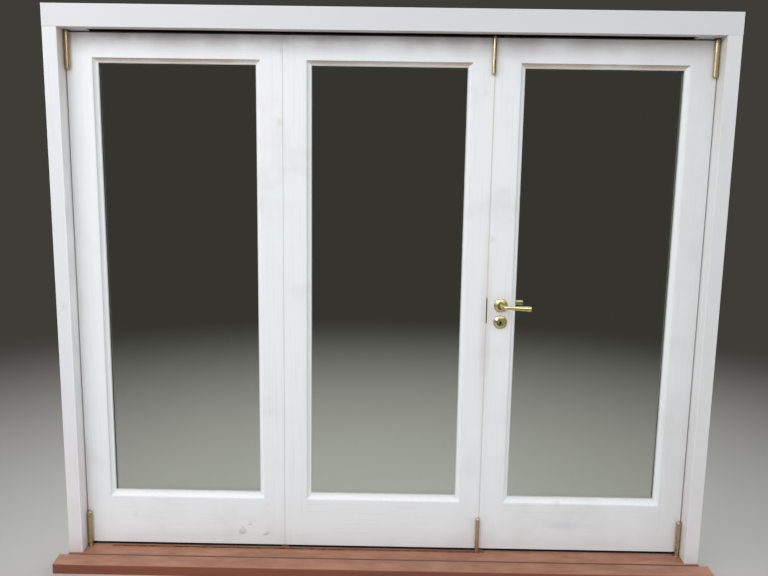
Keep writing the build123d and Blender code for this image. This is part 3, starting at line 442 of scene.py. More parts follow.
def stained_hardwood(finishes, name):
    """Sapele under a matt red-brown stain, with dark open pores, and pale dust trodden on to its top."""
    material, tree, place = new_material(name)
    pores = streaks(tree, place, "X", PORES, {"Detail": 4.0, "Roughness": 0.65})
    figure = streaks(tree, place, "X", FIGURE, {"Detail": 3.0, "Distortion": 0.5})
    dust = streaks(tree, place, "X", DUST_STREAKS, {"Detail": 6.0, "Roughness": 0.7})
    figured = add_node(tree, "MapRange", {0: figure, 1: 0.35, 2: 0.75}, **EASED)
    open_pores = add_node(tree, "MapRange", {0: pores, 1: 0.55, 2: 0.75}, **EASED)
    trodden = add_node(tree, "MapRange", {0: dust, 1: 0.30, 2: 0.70, 3: 0.35, 4: 0.85}, **EASED)
    looks_up = along(tree, add_node(tree, "TexCoord", output="Normal"), "Z", 0.3, 0.95)
    dusty = add_node(tree, "Math", {0: looks_up, 1: trodden}, operation="MULTIPLY")
    wood = tinted(tree, finishes.stain, finishes.stain_dark, figured, 1.0)
    wood = tinted(tree, wood, finishes.stain_dark, open_pores, 0.6)
    wood = tinted(tree, wood, finishes.dust, dusty, 1.0)
    full, gone = JOINT_LINE
    wood = tinted(tree, wood, finishes.joint_dirt, off_line(tree, place, "Y", JOINT, gone, full), 0.95)
    bump = add_node(tree, "Bump", {"Height": pores, "Strength": 0.35, "Distance": 0.0004})
    rough = add_node(tree, "MapRange", {0: dust, 1: 0.3, 2: 0.7, 3: finishes.stain_roughness - 0.12,
                                        4: finishes.stain_roughness + 0.15}, **EASED)
    close_surface(tree, {"Base Color": wood, "Roughness": rough, "Normal": bump})
    return material


# Brass: the patches of film on it, and the fine lines of the polish, which are drawn coarse enough to show
FILM_PATCH = 1000 * MM / 45
POLISH_LINE = 1000 * MM / 900

# Painted shade round the keyhole: how far it reaches and hangs, and how narrow it is for its height
KEYHOLE_SHADE_REACH = 9 * MM
KEYHOLE_SHADE_DROP = 2 * MM
KEYHOLE_SHADE_NARROWNESS = 0.7


def round_the_key(tree, place):
    """Painted shade: dark round the keyhole, on both sides of the leaf, so that the keyhole reads dark."""
    flattened = add_node(tree, "Mapping", {"Vector": place, "Scale": (1.0, 0.0, KEYHOLE_SHADE_NARROWNESS)})
    centre = (KEYHOLE.x, 0.0, (KEYHOLE.z - KEYHOLE_SHADE_DROP) * KEYHOLE_SHADE_NARROWNESS)
    return near(tree, flattened, centre, KEYHOLE_SHADE_REACH)


def brass(finishes, name, base, roughness, tarnished, dulled, keyhole_shade=None):
    """Lacquered brass: turned and polished, with a brown film in patches where the lacquer has worn."""
    material, tree, place = new_material(name)
    film = add_node(tree, "TexNoise", {"Vector": place, "Scale": 1 / FILM_PATCH, "Detail": 3.0,
                                       "Roughness": 0.5})
    lines = add_node(tree, "TexNoise", {"Vector": place, "Scale": 1 / POLISH_LINE, "Detail": 2.0})
    worn = add_node(tree, "MapRange", {0: film, 1: 0.45, 2: 0.75}, **EASED)
    shade = tinted(tree, base, finishes.tarnish, worn, tarnished)
    # Painted shade where a mask is given, such as the dark round the keyhole.
    if keyhole_shade:
        shade = tinted(tree, shade, finishes.keyhole_shade, keyhole_shade(tree, place), 0.9)
    rough = add_node(tree, "MapRange", {0: film, 1: 0.3, 2: 0.8, 3: roughness - 0.05,
                                        4: roughness + 0.16}, **EASED)
    bare = add_node(tree, "MapRange", {0: film, 1: 0.35, 2: 0.65, 3: 1.0, 4: 1.0 - dulled}, **EASED)
    bump = add_node(tree, "Bump", {"Height": lines, "Strength": 0.05, "Distance": 0.0001})
    close_surface(tree, {"Base Color": shade, "Roughness": rough, "Metallic": bare, "Normal": bump})
    return material


# Other patterns: the lines of drawn metal, the spacers' pin holes and dull patches, the clouds in moulded
# pieces, the dust on the glass, the lines of the bristles and the speckle of the floor
DRAWN_LENGTH = 250 * MM
PIN_HOLE_STEP = 4 * MM
DULL_PATCH = 1000 * MM / 60
CLOUD = 40 * MM
GLASS_DUST = 1000 * MM / 6
BRISTLES = (1000 * MM / 900, 1000 * MM / 60)
SPECKLE = 25 * MM


def drawn_metal(name, base, roughness, way, line_width):
    """Metal with lines along the way it was drawn or rolled, which are coarse enough to show."""
    material, tree, place = new_material(name)
    lines = streaks(tree, place, way, (line_width, DRAWN_LENGTH), {"Detail": 3.0})
    shade = tinted(tree, base, darker(base, 0.72), lines, 0.35)
    rough = add_node(tree, "MapRange", {0: lines, 1: 0.3, 2: 0.7, 3: roughness - 0.06,
                                        4: roughness + 0.08}, **EASED)
    bump = add_node(tree, "Bump", {"Height": lines, "Strength": 0.1, "Distance": 0.0001})
    close_surface(tree, {"Base Color": shade, "Roughness": rough, "Metallic": 1.0, "Normal": bump})
    return material


def pierced_spacer(finishes, name):
    """Mill aluminium spacer bar, rolled, with the row of pin holes that lets its drying beads breathe."""
    material, tree, place = new_material(name)
    holes = add_node(tree, "TexVoronoi", {"Vector": place, "Scale": 1 / PIN_HOLE_STEP, "Randomness": 0.0},
                     "Distance")
    pierced = add_node(tree, "MapRange", {0: holes, 1: 0.16, 2: 0.10}, **EASED)
    dull = add_node(tree, "TexNoise", {"Vector": place, "Scale": 1 / DULL_PATCH, "Detail": 3.0})
    shade = tinted(tree, finishes.aluminium, finishes.track, pierced, 0.7)
    rough = add_node(tree, "MapRange", {0: dull, 1: 0.3, 2: 0.7, 3: 0.32, 4: 0.48}, **EASED)
    close_surface(tree, {"Base Color": shade, "Roughness": rough, "Metallic": 1.0})
    return material


def moulded(name, base, roughness, grain):
    """Moulded or extruded soft plastic: matt, with a fine even texture and a slight cloudiness."""
    material, tree, place = new_material(name)
    cloud = add_node(tree, "TexNoise", {"Vector": place, "Scale": 1 / CLOUD, "Detail": 4.0})
    pitted = add_node(tree, "TexNoise", {"Vector": place, "Scale": 1 / grain, "Detail": 2.0})
    shade = tinted(tree, base, darker(base, 0.75), cloud, 0.35)
    rough = add_node(tree, "MapRange", {0: pitted, 1: 0.3, 2: 0.7, 3: roughness - 0.06,
                                        4: roughness + 0.06}, **EASED)
    bump = add_node(tree, "Bump", {"Height": pitted, "Strength": 0.2, "Distance": 0.0002})
    close_surface(tree, {"Base Color": shade, "Roughness": rough, "Normal": bump})
    return material


def float_glass(finishes, name):
    """Clear float glass: flat, polished, faintly green-grey, with a little dust; lamps shine through it."""
    material, tree, place = new_material(name)
    dust = add_node(tree, "TexNoise", {"Vector": place, "Scale": 1 / GLASS_DUST, "Detail": 6.0,
                                       "Roughness": 0.7})
    rough = add_node(tree, "MapRange", {0: dust, 1: 0.45, 2: 0.85, 3: 0.0, 4: 0.03}, **EASED)
    pane = add_node(tree, "BsdfPrincipled", {"Base Color": finishes.glass, "Transmission Weight": 1.0,
                                             "IOR": 1.52, "Roughness": rough})
    through = add_node(tree, "BsdfTransparent", {"Color": finishes.glass})
    shadow = add_node(tree, "LightPath", output="Is Shadow Ray")
    mix = add_node(tree, "MixShader", {0: shadow, 1: pane, 2: through})
    add_node(tree, "OutputMaterial", {"Surface": mix})
    return material


def bristles(finishes, name):
    """Nylon bristles packed side by side: matt black, with lines down the strip, coarse enough to show; the
    black is partly painted shade.
    """
    material, tree, place = new_material(name)
    hairs = streaks(tree, place, "Z", BRISTLES, {"Detail": 2.0})
    worn = add_node(tree, "MapRange", {0: hairs, 1: 0.45, 2: 0.7}, **EASED)
    shade = tinted(tree, finishes.bristle_and_shade, finishes.bristle_worn, worn, 1.0)
    bump = add_node(tree, "Bump", {"Height": hairs, "Strength": 0.6, "Distance": 0.0005})
    close_surface(tree, {"Base Color": shade, "Roughness": 0.9, "Specular IOR Level": 0.1, "Normal": bump})
    return material


def paint_with(material, names):
    """Give CAD nodes a finish in their material slots."""
    for name in names:
        mesh = NODES[name].data
        mesh.materials.clear()
        mesh.materials.append(material)


def leaf_nodes(*parts):
    """Names of the same parts in all three leaves."""
    return [f"{leaf}_leaf_{part}" for leaf in LEAVES for part in parts]


class DOORSET_OT_timber(bpy.types.Operator):
    """Paint the frame and the leaves, and stain the sill"""
    bl_idname = "doorset.timber"
    bl_label = "Finish the Timber"

    def execute(self, context):
        finishes = context.scene.door_finishes
        # Tints for the marks. Painted light and shade among them: the grey under the head, the lighter tint
        # and the tan high in the jamb reveals, the pink low down, the thin-coat tint on the right, and the
        # tan on faces that look down.
        tan, grey = finishes.paint_soiled_and_shade, finishes.paint_grime_and_shade
        rosy, thin = finishes.paint_brick_bounce, finishes.paint_thin_and_shade
        jamb_marks = [(in_the_reveal, 1.0, finishes.paint_reveal_light), (high_in_the_reveal, 0.55, tan),
                      (low_down, 0.6, rosy), (by_the_sill, 0.25, tan), (shade_on_right_jamb, 0.6, thin)]
        leaf_marks = [(under_head, 0.80, grey), (low_down, 0.2, rosy), (by_the_sill, 0.15, tan)]
        stile_marks = [(by_the_lever, 0.35, tan), (low_on_the_left_leaf, 0.6, grey),
                       (along_the_seam, 0.35, tan), (outer_edges, 0.08, tan), (shade_to_the_right, 0.5, thin)]
        rail_marks = [(low_on_the_left_leaf, 0.75, grey), (on_the_right_rail, 0.30, finishes.paint_smear),
                      (shade_to_the_right, 0.5, thin)]
        paint_with(undercoated_timber(finishes, "undercoated_jamb", "Z", jamb_marks, finishes.paint_jamb),
                   ["left_jamb", "right_jamb"])
        paint_with(undercoated_timber(finishes, "undercoated_head", "X", [(under_side, 0.5, tan)],
                                      finishes.paint_head), ["frame_head", "head_stop"])
        paint_with(undercoated_timber(finishes, "undercoated_stile", "Z", leaf_marks + stile_marks),
                   leaf_nodes("left_stile", "right_stile"))
        paint_with(undercoated_timber(finishes, "undercoated_rail", "X", leaf_marks + rail_marks),
                   leaf_nodes("top_rail", "bottom_rail"))
        paint_with(undercoated_timber(finishes, "undercoated_bead", "Z", [(under_the_moulding, 0.85, tan)]),
                   leaf_nodes("beads"))
        paint_with(stained_hardwood(finishes, "stained_sapele"), ["sill", "sill_nosing"])
        return {"FINISHED"}


class DOORSET_OT_glazing(bpy.types.Operator):
    """Give the panes and their spacer bars their finish"""
    bl_idname = "doorset.glazing"
    bl_label = "Finish the Glazing"

    def execute(self, context):
        finishes = context.scene.door_finishes
        paint_with(float_glass(finishes, "clear_float_glass"), leaf_nodes("outer_pane", "inner_pane"))
        paint_with(pierced_spacer(finishes, "pierced_aluminium_spacer"), leaf_nodes("spacer"))
        return {"FINISHED"}


class DOORSET_OT_metalwork(bpy.types.Operator):
    """Give the brass, steel, aluminium, nylon and soft strips their finish"""
    bl_idname = "doorset.metalwork"
    bl_label = "Finish the Metalwork"

    def execute(self, context):
        finishes = context.scene.door_finishes
        bright, dull, roughness = finishes.brass, finishes.brass_dull, finishes.brass_roughness
        paint_with(brass(finishes, "polished_lacquered_brass", bright, roughness, 0.08, 0.04),
                   ["outer_lever", "inner_lever"])
        paint_with(brass(finishes, "handled_brass", bright, roughness + 0.06, 0.3, 0.35), ["lever_roses"])
        paint_with(brass(finishes, "keyhole_shaded_brass", bright, roughness + 0.06, 0.65, 0.35, round_the_key),
                   ["key_escutcheons"])
        paint_with(brass(finishes, "dull_drawn_brass", dull, roughness + 0.08, 0.25, 0.12),
                   ["pivot_pins", "pivot_bushes", "left_pivot_barrels", "right_pivot_barrels",
                    "carrier_barrels", "guide_pin", "left_fold_plates", "middle_fold_plates", "fold_pins",
                    "strike_plate", "flush_bolt_plates", "upper_flush_bolt", "lower_flush_bolt"])
        # Partly painted light: the channel is coloured lighter than its shaded slot would show.
        paint_with(brass(finishes, "lightened_dusty_brass", finishes.lightened_dusty, 0.6, 0.3, 0.95), ["guide_channel"])
        paint_with(drawn_metal("zinc_plated_steel", finishes.zinc, 0.34, "Z", 2 * MM),
                   ["lock_case", "latch_bolt", "dead_bolt", "spindle"])
        paint_with(drawn_metal("mill_finish_aluminium", finishes.aluminium, 0.36, "X", 2 * MM),
                   ["weather_bar", "trolley_body"])
        # Partly painted shade: the track's dark also stands for the shade in the slot of the head.
        paint_with(drawn_metal("dark_anodised_shaded_aluminium", finishes.track, 0.4, "X", 2 * MM), ["top_track"])
        paint_with(moulded("moulded_nylon", finishes.nylon, 0.45, 0.6 * MM),
                   ["left_trolley_wheels", "right_trolley_wheels"])
        paint_with(moulded("extruded_white_seal", finishes.seal, 0.7, MM),
                   ["frame_seals", "fold_seal", "meeting_seal"])
        return {"FINISHED"}


def deselect():
    """Leave object mode with nothing selected."""
    if bpy.context.object and bpy.context.object.mode != "OBJECT":
        bpy.ops.object.mode_set(mode="OBJECT")
    bpy.ops.object.select_all(action="DESELECT")


def select_only(piece):
    """Make a piece the one that operators act on."""
    deselect()
    piece.select_set(True)
    bpy.context.view_layer.objects.active = piece


def pick_faces(piece, wanted):
    """Select the faces that a test picks, and go into edit mode on them."""
    select_only(piece)
    bpy.ops.object.mode_set(mode="EDIT")
    bpy.ops.mesh.select_mode(type="FACE")
    bpy.ops.mesh.select_all(action="DESELECT")
    bpy.ops.object.mode_set(mode="OBJECT")
    for face in piece.data.polygons:
        face.select = wanted(face)
    bpy.ops.object.mode_set(mode="EDIT")


def use_modifier(piece, kind, **settings):
    """Add a modifier with its settings, and apply it."""
    select_only(piece)
    modifier = piece.modifiers.new(kind.lower(), kind)
    for key, value in settings.items():
        setattr(modifier, key, value)
    bpy.ops.object.modifier_apply(modifier=modifier.name)


def settle(piece, name):
    """Put a piece's place into its mesh, smooth it by angle and name it."""
    select_only(piece)
    bpy.ops.object.transform_apply(location=True, rotation=True, scale=True)
    bpy.ops.object.shade_smooth_by_angle(angle=pi / 6)
    piece.name = name
    piece.data.name = name
    return piece


def copies_at(model, name, places):
    """Copies of a model that stands on its own Z axis, one at each place, direction and turn, joined."""
    made = []
    for place, direction, twist in places:
        copy = model.copy()
        copy.data = model.data.copy()
        bpy.context.scene.collection.objects.link(copy)
        turn = Vector(direction).to_track_quat("Z", "Y") @ Euler((0, 0, twist)).to_quaternion()
        copy.matrix_world = Matrix.Translation(place) @ turn.to_matrix().to_4x4()
        made.append(copy)
    deselect()
    for copy in made:
        copy.select_set(True)
    bpy.context.view_layer.objects.active = made[0]
    bpy.ops.object.join()
    return settle(made[0], name)


def finish_piece(piece, body, material):
    """Give a new piece its body and its finish."""
    piece.data.materials.clear()
    piece.data.materials.append(material)
    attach(piece, body)


def screw_model(fixings):
    """Countersunk screw head: a disc, domed in two steps, with one slot."""
    deselect()
    radius = fixings.screw_head / 2
    proud = fixings.screw_proud
    bpy.ops.mesh.primitive_cylinder_add(vertices=24, radius=radius, depth=proud * 2)
    head = bpy.context.object
    pick_faces(head, lambda face: face.normal.z > 0.9)
    bpy.ops.mesh.inset(thickness=radius * 0.25)
    bpy.ops.transform.translate(value=(0, 0, proud * 0.4))
    bpy.ops.mesh.inset(thickness=radius * 0.3)
    bpy.ops.transform.translate(value=(0, 0, proud * 0.2))
    deselect()
    bpy.ops.mesh.primitive_cube_add(size=1, location=(0, 0, proud * 1.6))
    slot_cutter = bpy.context.object
    slot_cutter.scale = (fixings.screw_head * 1.2, fixings.screw_slot, proud * 2.2)
    use_modifier(head, "BOOLEAN", operation="DIFFERENCE", object=slot_cutter, solver="EXACT")
    bpy.data.objects.remove(slot_cutter)
    return head


def fold_plate_screws(node, plate_x, surface):
    """Places of the screws of the three fold hinge plates on a leaf: three in each plate."""
    low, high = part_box(node)
    half = FOLD_PLATE_HEIGHT / 2
    heights = (low.z + half, (low.z + high.z) / 2, high.z - half)
    return [((plate_x, surface, z + step * FOLD_SCREW_STEP), (0, 1, 0), 0.7 * index + 1.1 * step)
            for index, z in enumerate(heights) for step in (-1, 0, 1)]


def barrel_screws(stile, way):
    """Places of the screws in the edge of a stile that hold its upper and lower barrels."""
    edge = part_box(stile)[0 if way < 0 else 1].x
    half = BARREL_LENGTH / 2
    return [((edge, LEAF_FACE + BARREL_SCREW_DEPTH, z + step * BARREL_SCREW_STEP), (way, 0, 0), 0.9 * step)
            for z in (LEAF_FOOT + half, LEAF_TOP - half) for step in (-1, 0, 1)]


class DOORSET_OT_screws(bpy.types.Operator):
    """Set the screws of the hinges, the lock, the keep and the flush bolts"""
    bl_idname = "doorset.screws"
    bl_label = "Set the Screws"

    def execute(self, context):
        finishes = context.scene.door_finishes
        finish = brass(finishes, "brass_screw", finishes.brass_dull, 0.3, 0.3, 0.2)
        model = screw_model(context.scene.door_fixings)
        surface = LEAF_BACK + FOLD_PLATE_THICK
        left_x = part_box("left_fold_plates")[0].x + LEFT_SCREW_INSET
        middle_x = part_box("middle_fold_plates")[1].x - MIDDLE_SCREW_INSET
        lock_low, lock_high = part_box("lock_case")
        lock_z = (lock_low.z + lock_high.z) / 2
        lock_y = (LEAF_FACE + LEAF_BACK) / 2
        keep_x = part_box("strike_plate")[1].x
        flush_low, flush_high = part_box("flush_bolt_plates")
        flush_x = (flush_low.x + flush_high.x) / 2
        flush_half = FLUSH_PLATE_HEIGHT / 2
        sets = {
            "left_fold_screws": ("left_leaf", fold_plate_screws("left_fold_plates", left_x, surface)),
            "middle_fold_screws": ("middle_leaf", fold_plate_screws("middle_fold_plates", middle_x,
                                                                    surface + FOLD_PLATE_SEAT)),
            "left_pivot_screws": ("left_leaf", barrel_screws("left_leaf_left_stile", -1)),
            "right_pivot_screws": ("right_leaf", barrel_screws("right_leaf_right_stile", 1)),
            "carrier_screws": ("middle_leaf", barrel_screws("middle_leaf_right_stile", 1)),
            "forend_screws": ("right_leaf", [
                ((lock_low.x, lock_y, lock_z + side * FOREND_SCREW_STEP), (-1, 0, 0), side)
                for side in (-1, 1)]),
            "strike_screws": ("middle_leaf", [
                ((keep_x, lock_y, lock_z + side * KEEP_SCREW_STEP), (1, 0, 0), side)
                for side in (-1, 1)]),
            "flush_bolt_screws": ("middle_leaf", [
                ((flush_x, LEAF_BACK, z + side * FLUSH_SCREW_STEP), (0, 1, 0), side)
                for z in (flush_low.z + flush_half, flush_high.z - flush_half) for side in (-1, 1)]),
        }
        for name, (body, places) in sets.items():
            finish_piece(copies_at(model, name, places), body, finish)
        bpy.data.objects.remove(model)
        return {"FINISHED"}


class DOORSET_OT_grub_screws(bpy.types.Operator):
    """Set the socket screw under the neck of each lever"""
    bl_idname = "doorset.grub_screws"
    bl_label = "Set the Grub Screws"

    def execute(self, context):
        radius = context.scene.door_fixings.grub_head / 2
        deselect()
        bpy.ops.mesh.primitive_cylinder_add(vertices=6, radius=radius, depth=GRUB_DEPTH)
        model = bpy.context.object
        pick_faces(model, lambda face: abs(face.normal.z) < 0.5)
        bpy.ops.mesh.subdivide(number_cuts=3)
        deselect()
        use_modifier(model, "CAST", cast_type="CYLINDER", factor=1.0, use_z=False, size=radius,
                     use_radius_as_size=False)
        pick_faces(model, lambda face: face.normal.z > 0.9)
        bpy.ops.mesh.inset(thickness=radius * 0.42)
        bpy.ops.mesh.extrude_region_move(TRANSFORM_OT_translate={"value": (0, 0, -GRUB_SOCKET)})
        deselect()
        places = [((SPINDLE.x, y, SPINDLE.z - NECK_RADIUS), (0, 0, -1), 0.0)
                  for y in (LEAF_FACE - NECK_STANDOFF, LEAF_BACK + NECK_STANDOFF)]
        blackened = context.scene.door_finishes.blackened
        finish = drawn_metal("blackened_steel_screw", blackened, 0.4, "Z", MM)
        finish_piece(copies_at(model, "lever_grub_screws", places), "lever", finish)
        bpy.data.objects.remove(model)
        return {"FINISHED"}


def sealant_ring(name, low, high, y, way, width):
    """Rounded line of sealant inside a rectangle on a pane, standing out towards way along Y."""
    deselect()
    centre = ((low[0] + high[0]) / 2, y, (low[1] + high[1]) / 2)
    bpy.ops.mesh.primitive_plane_add(size=1, location=centre, rotation=(-way * pi / 2, 0, 0))
    ring = bpy.context.object
    ring.scale = (high[0] - low[0], high[1] - low[1], 1)
    bpy.ops.object.transform_apply(location=True, rotation=True, scale=True)
    pick_faces(ring, lambda face: True)
    bpy.ops.mesh.inset(thickness=width)
    bpy.ops.mesh.delete(type="FACE")
    deselect()
    use_modifier(ring, "SOLIDIFY", thickness=width, offset=1)
    use_modifier(ring, "BEVEL", width=width * 0.45, segments=3, limit_method="ANGLE")
    return settle(ring, name)


class DOORSET_OT_sealant(bpy.types.Operator):
    """Run the sealant between the beads and the panes, outside and inside"""
    bl_idname = "doorset.sealant"
    bl_label = "Run the Sealant"

    def execute(self, context):
        width = context.scene.door_fixings.sealant
        finish = moulded("tooled_glazing_sealant", context.scene.door_finishes.sealant, 0.4, 1.5 * MM)
        for leaf in LEAVES:
            low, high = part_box(f"{leaf}_leaf_beads")
            outer_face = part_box(f"{leaf}_leaf_outer_pane")[0].y
            inner_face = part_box(f"{leaf}_leaf_inner_pane")[1].y
            outside = sealant_ring(f"{leaf}_outer_sealant", (low.x + OUTER_BEAD, low.z + OUTER_FOOT_BEAD),
                                   (high.x - OUTER_BEAD, high.z - OUTER_HEAD_BEAD), outer_face, -1, width)
            inside = sealant_ring(f"{leaf}_inner_sealant", (low.x + INNER_BEAD, low.z + INNER_BEAD),
                                  (high.x - INNER_BEAD, high.z - INNER_BEAD), inner_face, 1, width)
            for ring in (outside, inside):
                finish_piece(ring, f"{leaf}_leaf", finish)
        return {"FINISHED"}


def brush_strip(name, x0, x1, depth, fixings):
    """Strip of bristles under a leaf, flared towards its foot, with its tips split into short tufts."""
    deselect()
    height = fixings.brush_height
    bpy.ops.mesh.primitive_cube_add(size=1, location=((x0 + x1) / 2, depth, LEAF_FOOT - height / 2))
    strip = bpy.context.object
    strip.scale = (x1 - x0, fixings.brush_width, height)
    bpy.ops.object.transform_apply(location=True, rotation=True, scale=True)
    pick_faces(strip, lambda face: face.normal.z < -0.9)
    bpy.ops.transform.resize(value=(1, 1.5, 1))
    bpy.ops.mesh.select_all(action="SELECT")
    bpy.ops.mesh.bisect(plane_co=(0, 0, LEAF_FOOT - height * 0.35), plane_no=(0, 0, 1))
    deselect()
    count = int((x1 - x0) / fixings.brush_tuft)
    for index in range(1, count):
        pick_faces(strip, lambda face: True)
        bpy.ops.mesh.bisect(plane_co=(x0 + (x1 - x0) * index / count, 0, 0), plane_no=(1, 0, 0))
        deselect()
    return settle(strip, name)


class DOORSET_OT_brush_strips(bpy.types.Operator):
    """Fix a black brush strip under each leaf; its black also stands as painted shade in the gap under the
    leaf
    """
    bl_idname = "doorset.brush_strips"
    bl_label = "Fix the Brush Strips"

    def execute(self, context):
        finish = bristles(context.scene.door_finishes, "black_bristles_and_shade")
        fixings = context.scene.door_fixings
        depth = LEAF_FACE + fixings.brush_set_back
        for leaf in LEAVES:
            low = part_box(f"{leaf}_leaf_left_stile")[0].x + fixings.brush_end
            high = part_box(f"{leaf}_leaf_right_stile")[1].x - fixings.brush_end
            strip = brush_strip(f"{leaf}_brush_strip", low, high, depth, fixings)
            finish_piece(strip, f"{leaf}_leaf", finish)
        return {"FINISHED"}


def backdrop_rays(tree):
    """1 for rays from the camera, from a reflection or through glass, which see the plain background."""
    camera = add_node(tree, "LightPath", output="Is Camera Ray")
    rays = camera.node.outputs
    seen = add_node(tree, "Math", {0: camera, 1: rays["Is Glossy Ray"]}, operation="MAXIMUM")
    return add_node(tree, "Math", {0: seen, 1: rays["Is Transmission Ray"]}, operation="MAXIMUM")


# The floor's radius, and how far out it starts and ends its fade to the backdrop
FLOOR_RADIUS = 14.0
FLOOR_FADE = (0.3, 5.5)


def stage_floor(stage):
    """Pale floor, which keeps the shadow near the door set and fades to the backdrop further out."""
    deselect()
    bpy.ops.mesh.primitive_circle_add(vertices=96, radius=FLOOR_RADIUS, fill_type="TRIFAN",
                                      location=(0, 0, 0))
    floor = bpy.context.object
    settle(floor, "stage_floor")
    material, tree, place = new_material("pale_studio_floor")
    speckle = add_node(tree, "TexNoise", {"Vector": place, "Scale": 1 / SPECKLE, "Detail": 3.0})
    tone = tinted(tree, stage.floor, stage.floor_speckle, speckle, 0.05)
    ground = add_node(tree, "BsdfPrincipled", {"Base Color": tone, "Roughness": 0.9,
                                               "Specular IOR Level": 0.1})
    far = add_node(tree, "Emission", {"Color": stage.backdrop, "Strength": 1.0})
    reach = add_node(tree, "VectorMath", {0: place}, "Value", operation="LENGTH")
    falloff = add_node(tree, "MapRange", {0: reach, 1: FLOOR_FADE[0], 2: FLOOR_FADE[1]}, **EASED)
    falloff = add_node(tree, "Math", {0: falloff}, operation="SQRT")
    fade = add_node(tree, "Math", {0: falloff, 1: backdrop_rays(tree)}, operation="MULTIPLY")
    mix = add_node(tree, "MixShader", {0: fade, 1: ground, 2: far})
    add_node(tree, "OutputMaterial", {"Surface": mix})
    floor.data.materials.append(material)


# Heights on a sphere of radius 1 where the background starts to grow pale, is as pale as the sky and is
# brightest, and its strength there
PALE_FROM = 0.34
PALE_AT = 0.62
BRIGHTEST_AT = 0.80
BRIGHTEST = 1.7


def stage_world(stage):
    """Light from all round, with a plain grey background that grows pale only high overhead."""
    world = bpy.data.worlds.new("studio")
    bpy.context.scene.world = world
    world.use_nodes = True
    tree = world.node_tree
    tree.nodes.clear()
    sphere = add_node(tree, "TexCoord", output="Generated")
    height = add_node(tree, "SeparateXYZ", {0: sphere}, "Z")
    strength = add_node(tree, "MapRange", {0: height, 3: stage.ambient, 4: stage.zenith}, **EASED)
    light = add_node(tree, "Background", {"Color": stage.sky, "Strength": strength})
    pale = add_node(tree, "MapRange", {0: height, 1: PALE_FROM, 2: PALE_AT}, **EASED)
    seen_shade = tinted(tree, stage.backdrop, stage.sky, pale, 1.0)
    seen_strength = add_node(tree, "MapRange", {0: height, 1: PALE_FROM, 2: BRIGHTEST_AT, 3: 1.0,
                                                4: BRIGHTEST}, **EASED)
    seen = add_node(tree, "Background", {"Color": seen_shade, "Strength": seen_strength})
    mix = add_node(tree, "MixShader", {0: backdrop_rays(tree), 1: light, 2: seen})
    add_node(tree, "OutputWorld", {"Surface": mix})


def soft_lamp(name, place, target, size, power, tint="#ffffff", mirrored=False, lights=True):
    """A wide lamp that faces a point; it shows only in what it lights, or in polished metal, or both."""
    lamp = bpy.data.lights.new(name, "AREA")
    lamp.shape = "RECTANGLE"
    lamp.size, lamp.size_y = size
    lamp.energy = power
    lamp.color = linear(tint)[:3]
    holder = bpy.data.objects.new(name, lamp)
    bpy.context.scene.collection.objects.link(holder)
    holder.location = place
    holder.rotation_euler = (Vector(target) - Vector(place)).to_track_quat("-Z", "Y").to_euler()
    holder.visible_camera = False
    holder.visible_transmission = False
    holder.visible_glossy = mirrored
    holder.visible_diffuse = lights


def stage_camera(scene, stage):
    """Camera at the photograph's angle."""
    yaw, pitch, roll = stage.camera_yaw, stage.camera_pitch, stage.camera_roll
    forward = Vector((sin(yaw) * cos(pitch), cos(yaw) * cos(pitch), -sin(pitch)))
    level = Vector((cos(yaw), -sin(yaw), 0))
    upward = level.cross(forward)
    right = cos(roll) * level + sin(roll) * upward
    up = cos(roll) * upward - sin(roll) * level
    camera = bpy.data.cameras.new("photo_camera")
    camera.sensor_width = 36.0
    camera.lens = stage.lens
    holder = bpy.data.objects.new("photo_camera", camera)
    scene.collection.objects.link(holder)
    holder.matrix_world = (Matrix.Translation(stage.camera_place)
                           @ Matrix((right, up, -forward)).transposed().to_4x4())
    scene.camera = holder


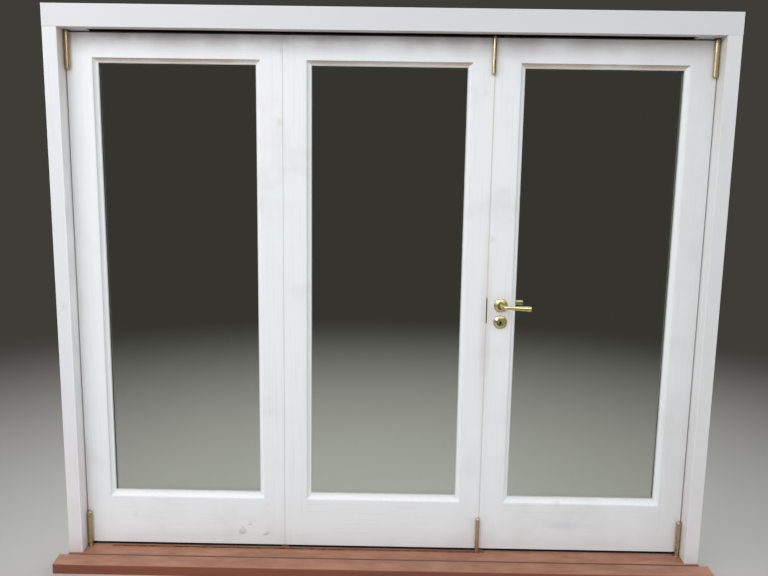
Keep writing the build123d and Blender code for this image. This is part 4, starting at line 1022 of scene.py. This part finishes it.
class DOORSET_OT_stage(bpy.types.Operator):
    """Set the camera, the lamps, the floor and the background"""
    bl_idname = "doorset.stage"
    bl_label = "Set the Stage"

    def execute(self, context):
        scene = context.scene
        stage = scene.door_stage
        scene.view_settings.view_transform = "Standard"
        stage_camera(scene, stage)
        stage_floor(stage)
        stage_world(stage)
        middle = (0, 0, 1.1)
        soft_lamp("key_lamp", place=(-3.0, -3.0, 3.65), target=middle, size=(3.4, 1.8),
                  power=stage.key_power, tint="#fbfdff", mirrored=True)
        soft_lamp("front_lamp", place=(-0.4, -6.0, 4.65), target=(-0.4, 0, 3.6), size=(7.0, 2.8),
                  power=stage.front_power, mirrored=True, lights=False)
        soft_lamp("fill_lamp", place=(5.2, -1.8, 2.2), target=middle, size=(1.6, 3.0), power=stage.fill_power)
        soft_lamp("back_lamp", place=(1.4, 4.6, 3.6), target=middle, size=(3.0, 2.4), power=stage.back_power)
        return {"FINISHED"}


STEPS = (DOORSET_OT_stage, DOORSET_OT_timber, DOORSET_OT_glazing, DOORSET_OT_metalwork, DOORSET_OT_screws,
         DOORSET_OT_grub_screws, DOORSET_OT_sealant, DOORSET_OT_brush_strips)


class DOORSET_PT_panel(bpy.types.Panel):
    """Lists the steps and settings of the door set"""
    bl_idname = "DOORSET_PT_panel"
    bl_label = "Door Set"
    bl_space_type = "VIEW_3D"
    bl_region_type = "UI"
    bl_category = "Door Set"

    def draw(self, context):
        for step in STEPS:
            self.layout.operator(step.bl_idname)
        for group in (context.scene.door_finishes, context.scene.door_fixings, context.scene.door_stage):
            box = self.layout.box()
            for key in type(group).__annotations__:
                box.prop(group, key)


CLASSES = (DoorFinishes, DoorFixings, DoorStage, *STEPS, DOORSET_PT_panel)


def register():
    """Register the classes and hang the settings on the scene."""
    for kind in CLASSES:
        bpy.utils.register_class(kind)
    bpy.types.Scene.door_finishes = PointerProperty(type=DoorFinishes)
    bpy.types.Scene.door_fixings = PointerProperty(type=DoorFixings)
    bpy.types.Scene.door_stage = PointerProperty(type=DoorStage)


def unregister():
    """Take the settings off the scene and unregister the classes."""
    del bpy.types.Scene.door_stage
    del bpy.types.Scene.door_fixings
    del bpy.types.Scene.door_finishes
    for kind in reversed(CLASSES):
        bpy.utils.unregister_class(kind)


def main():
    """Run every step."""
    register()
    for step in STEPS:
        group, _, call = step.bl_idname.partition(".")
        getattr(getattr(bpy.ops, group), call)()


if __name__ == "__main__":
    main()
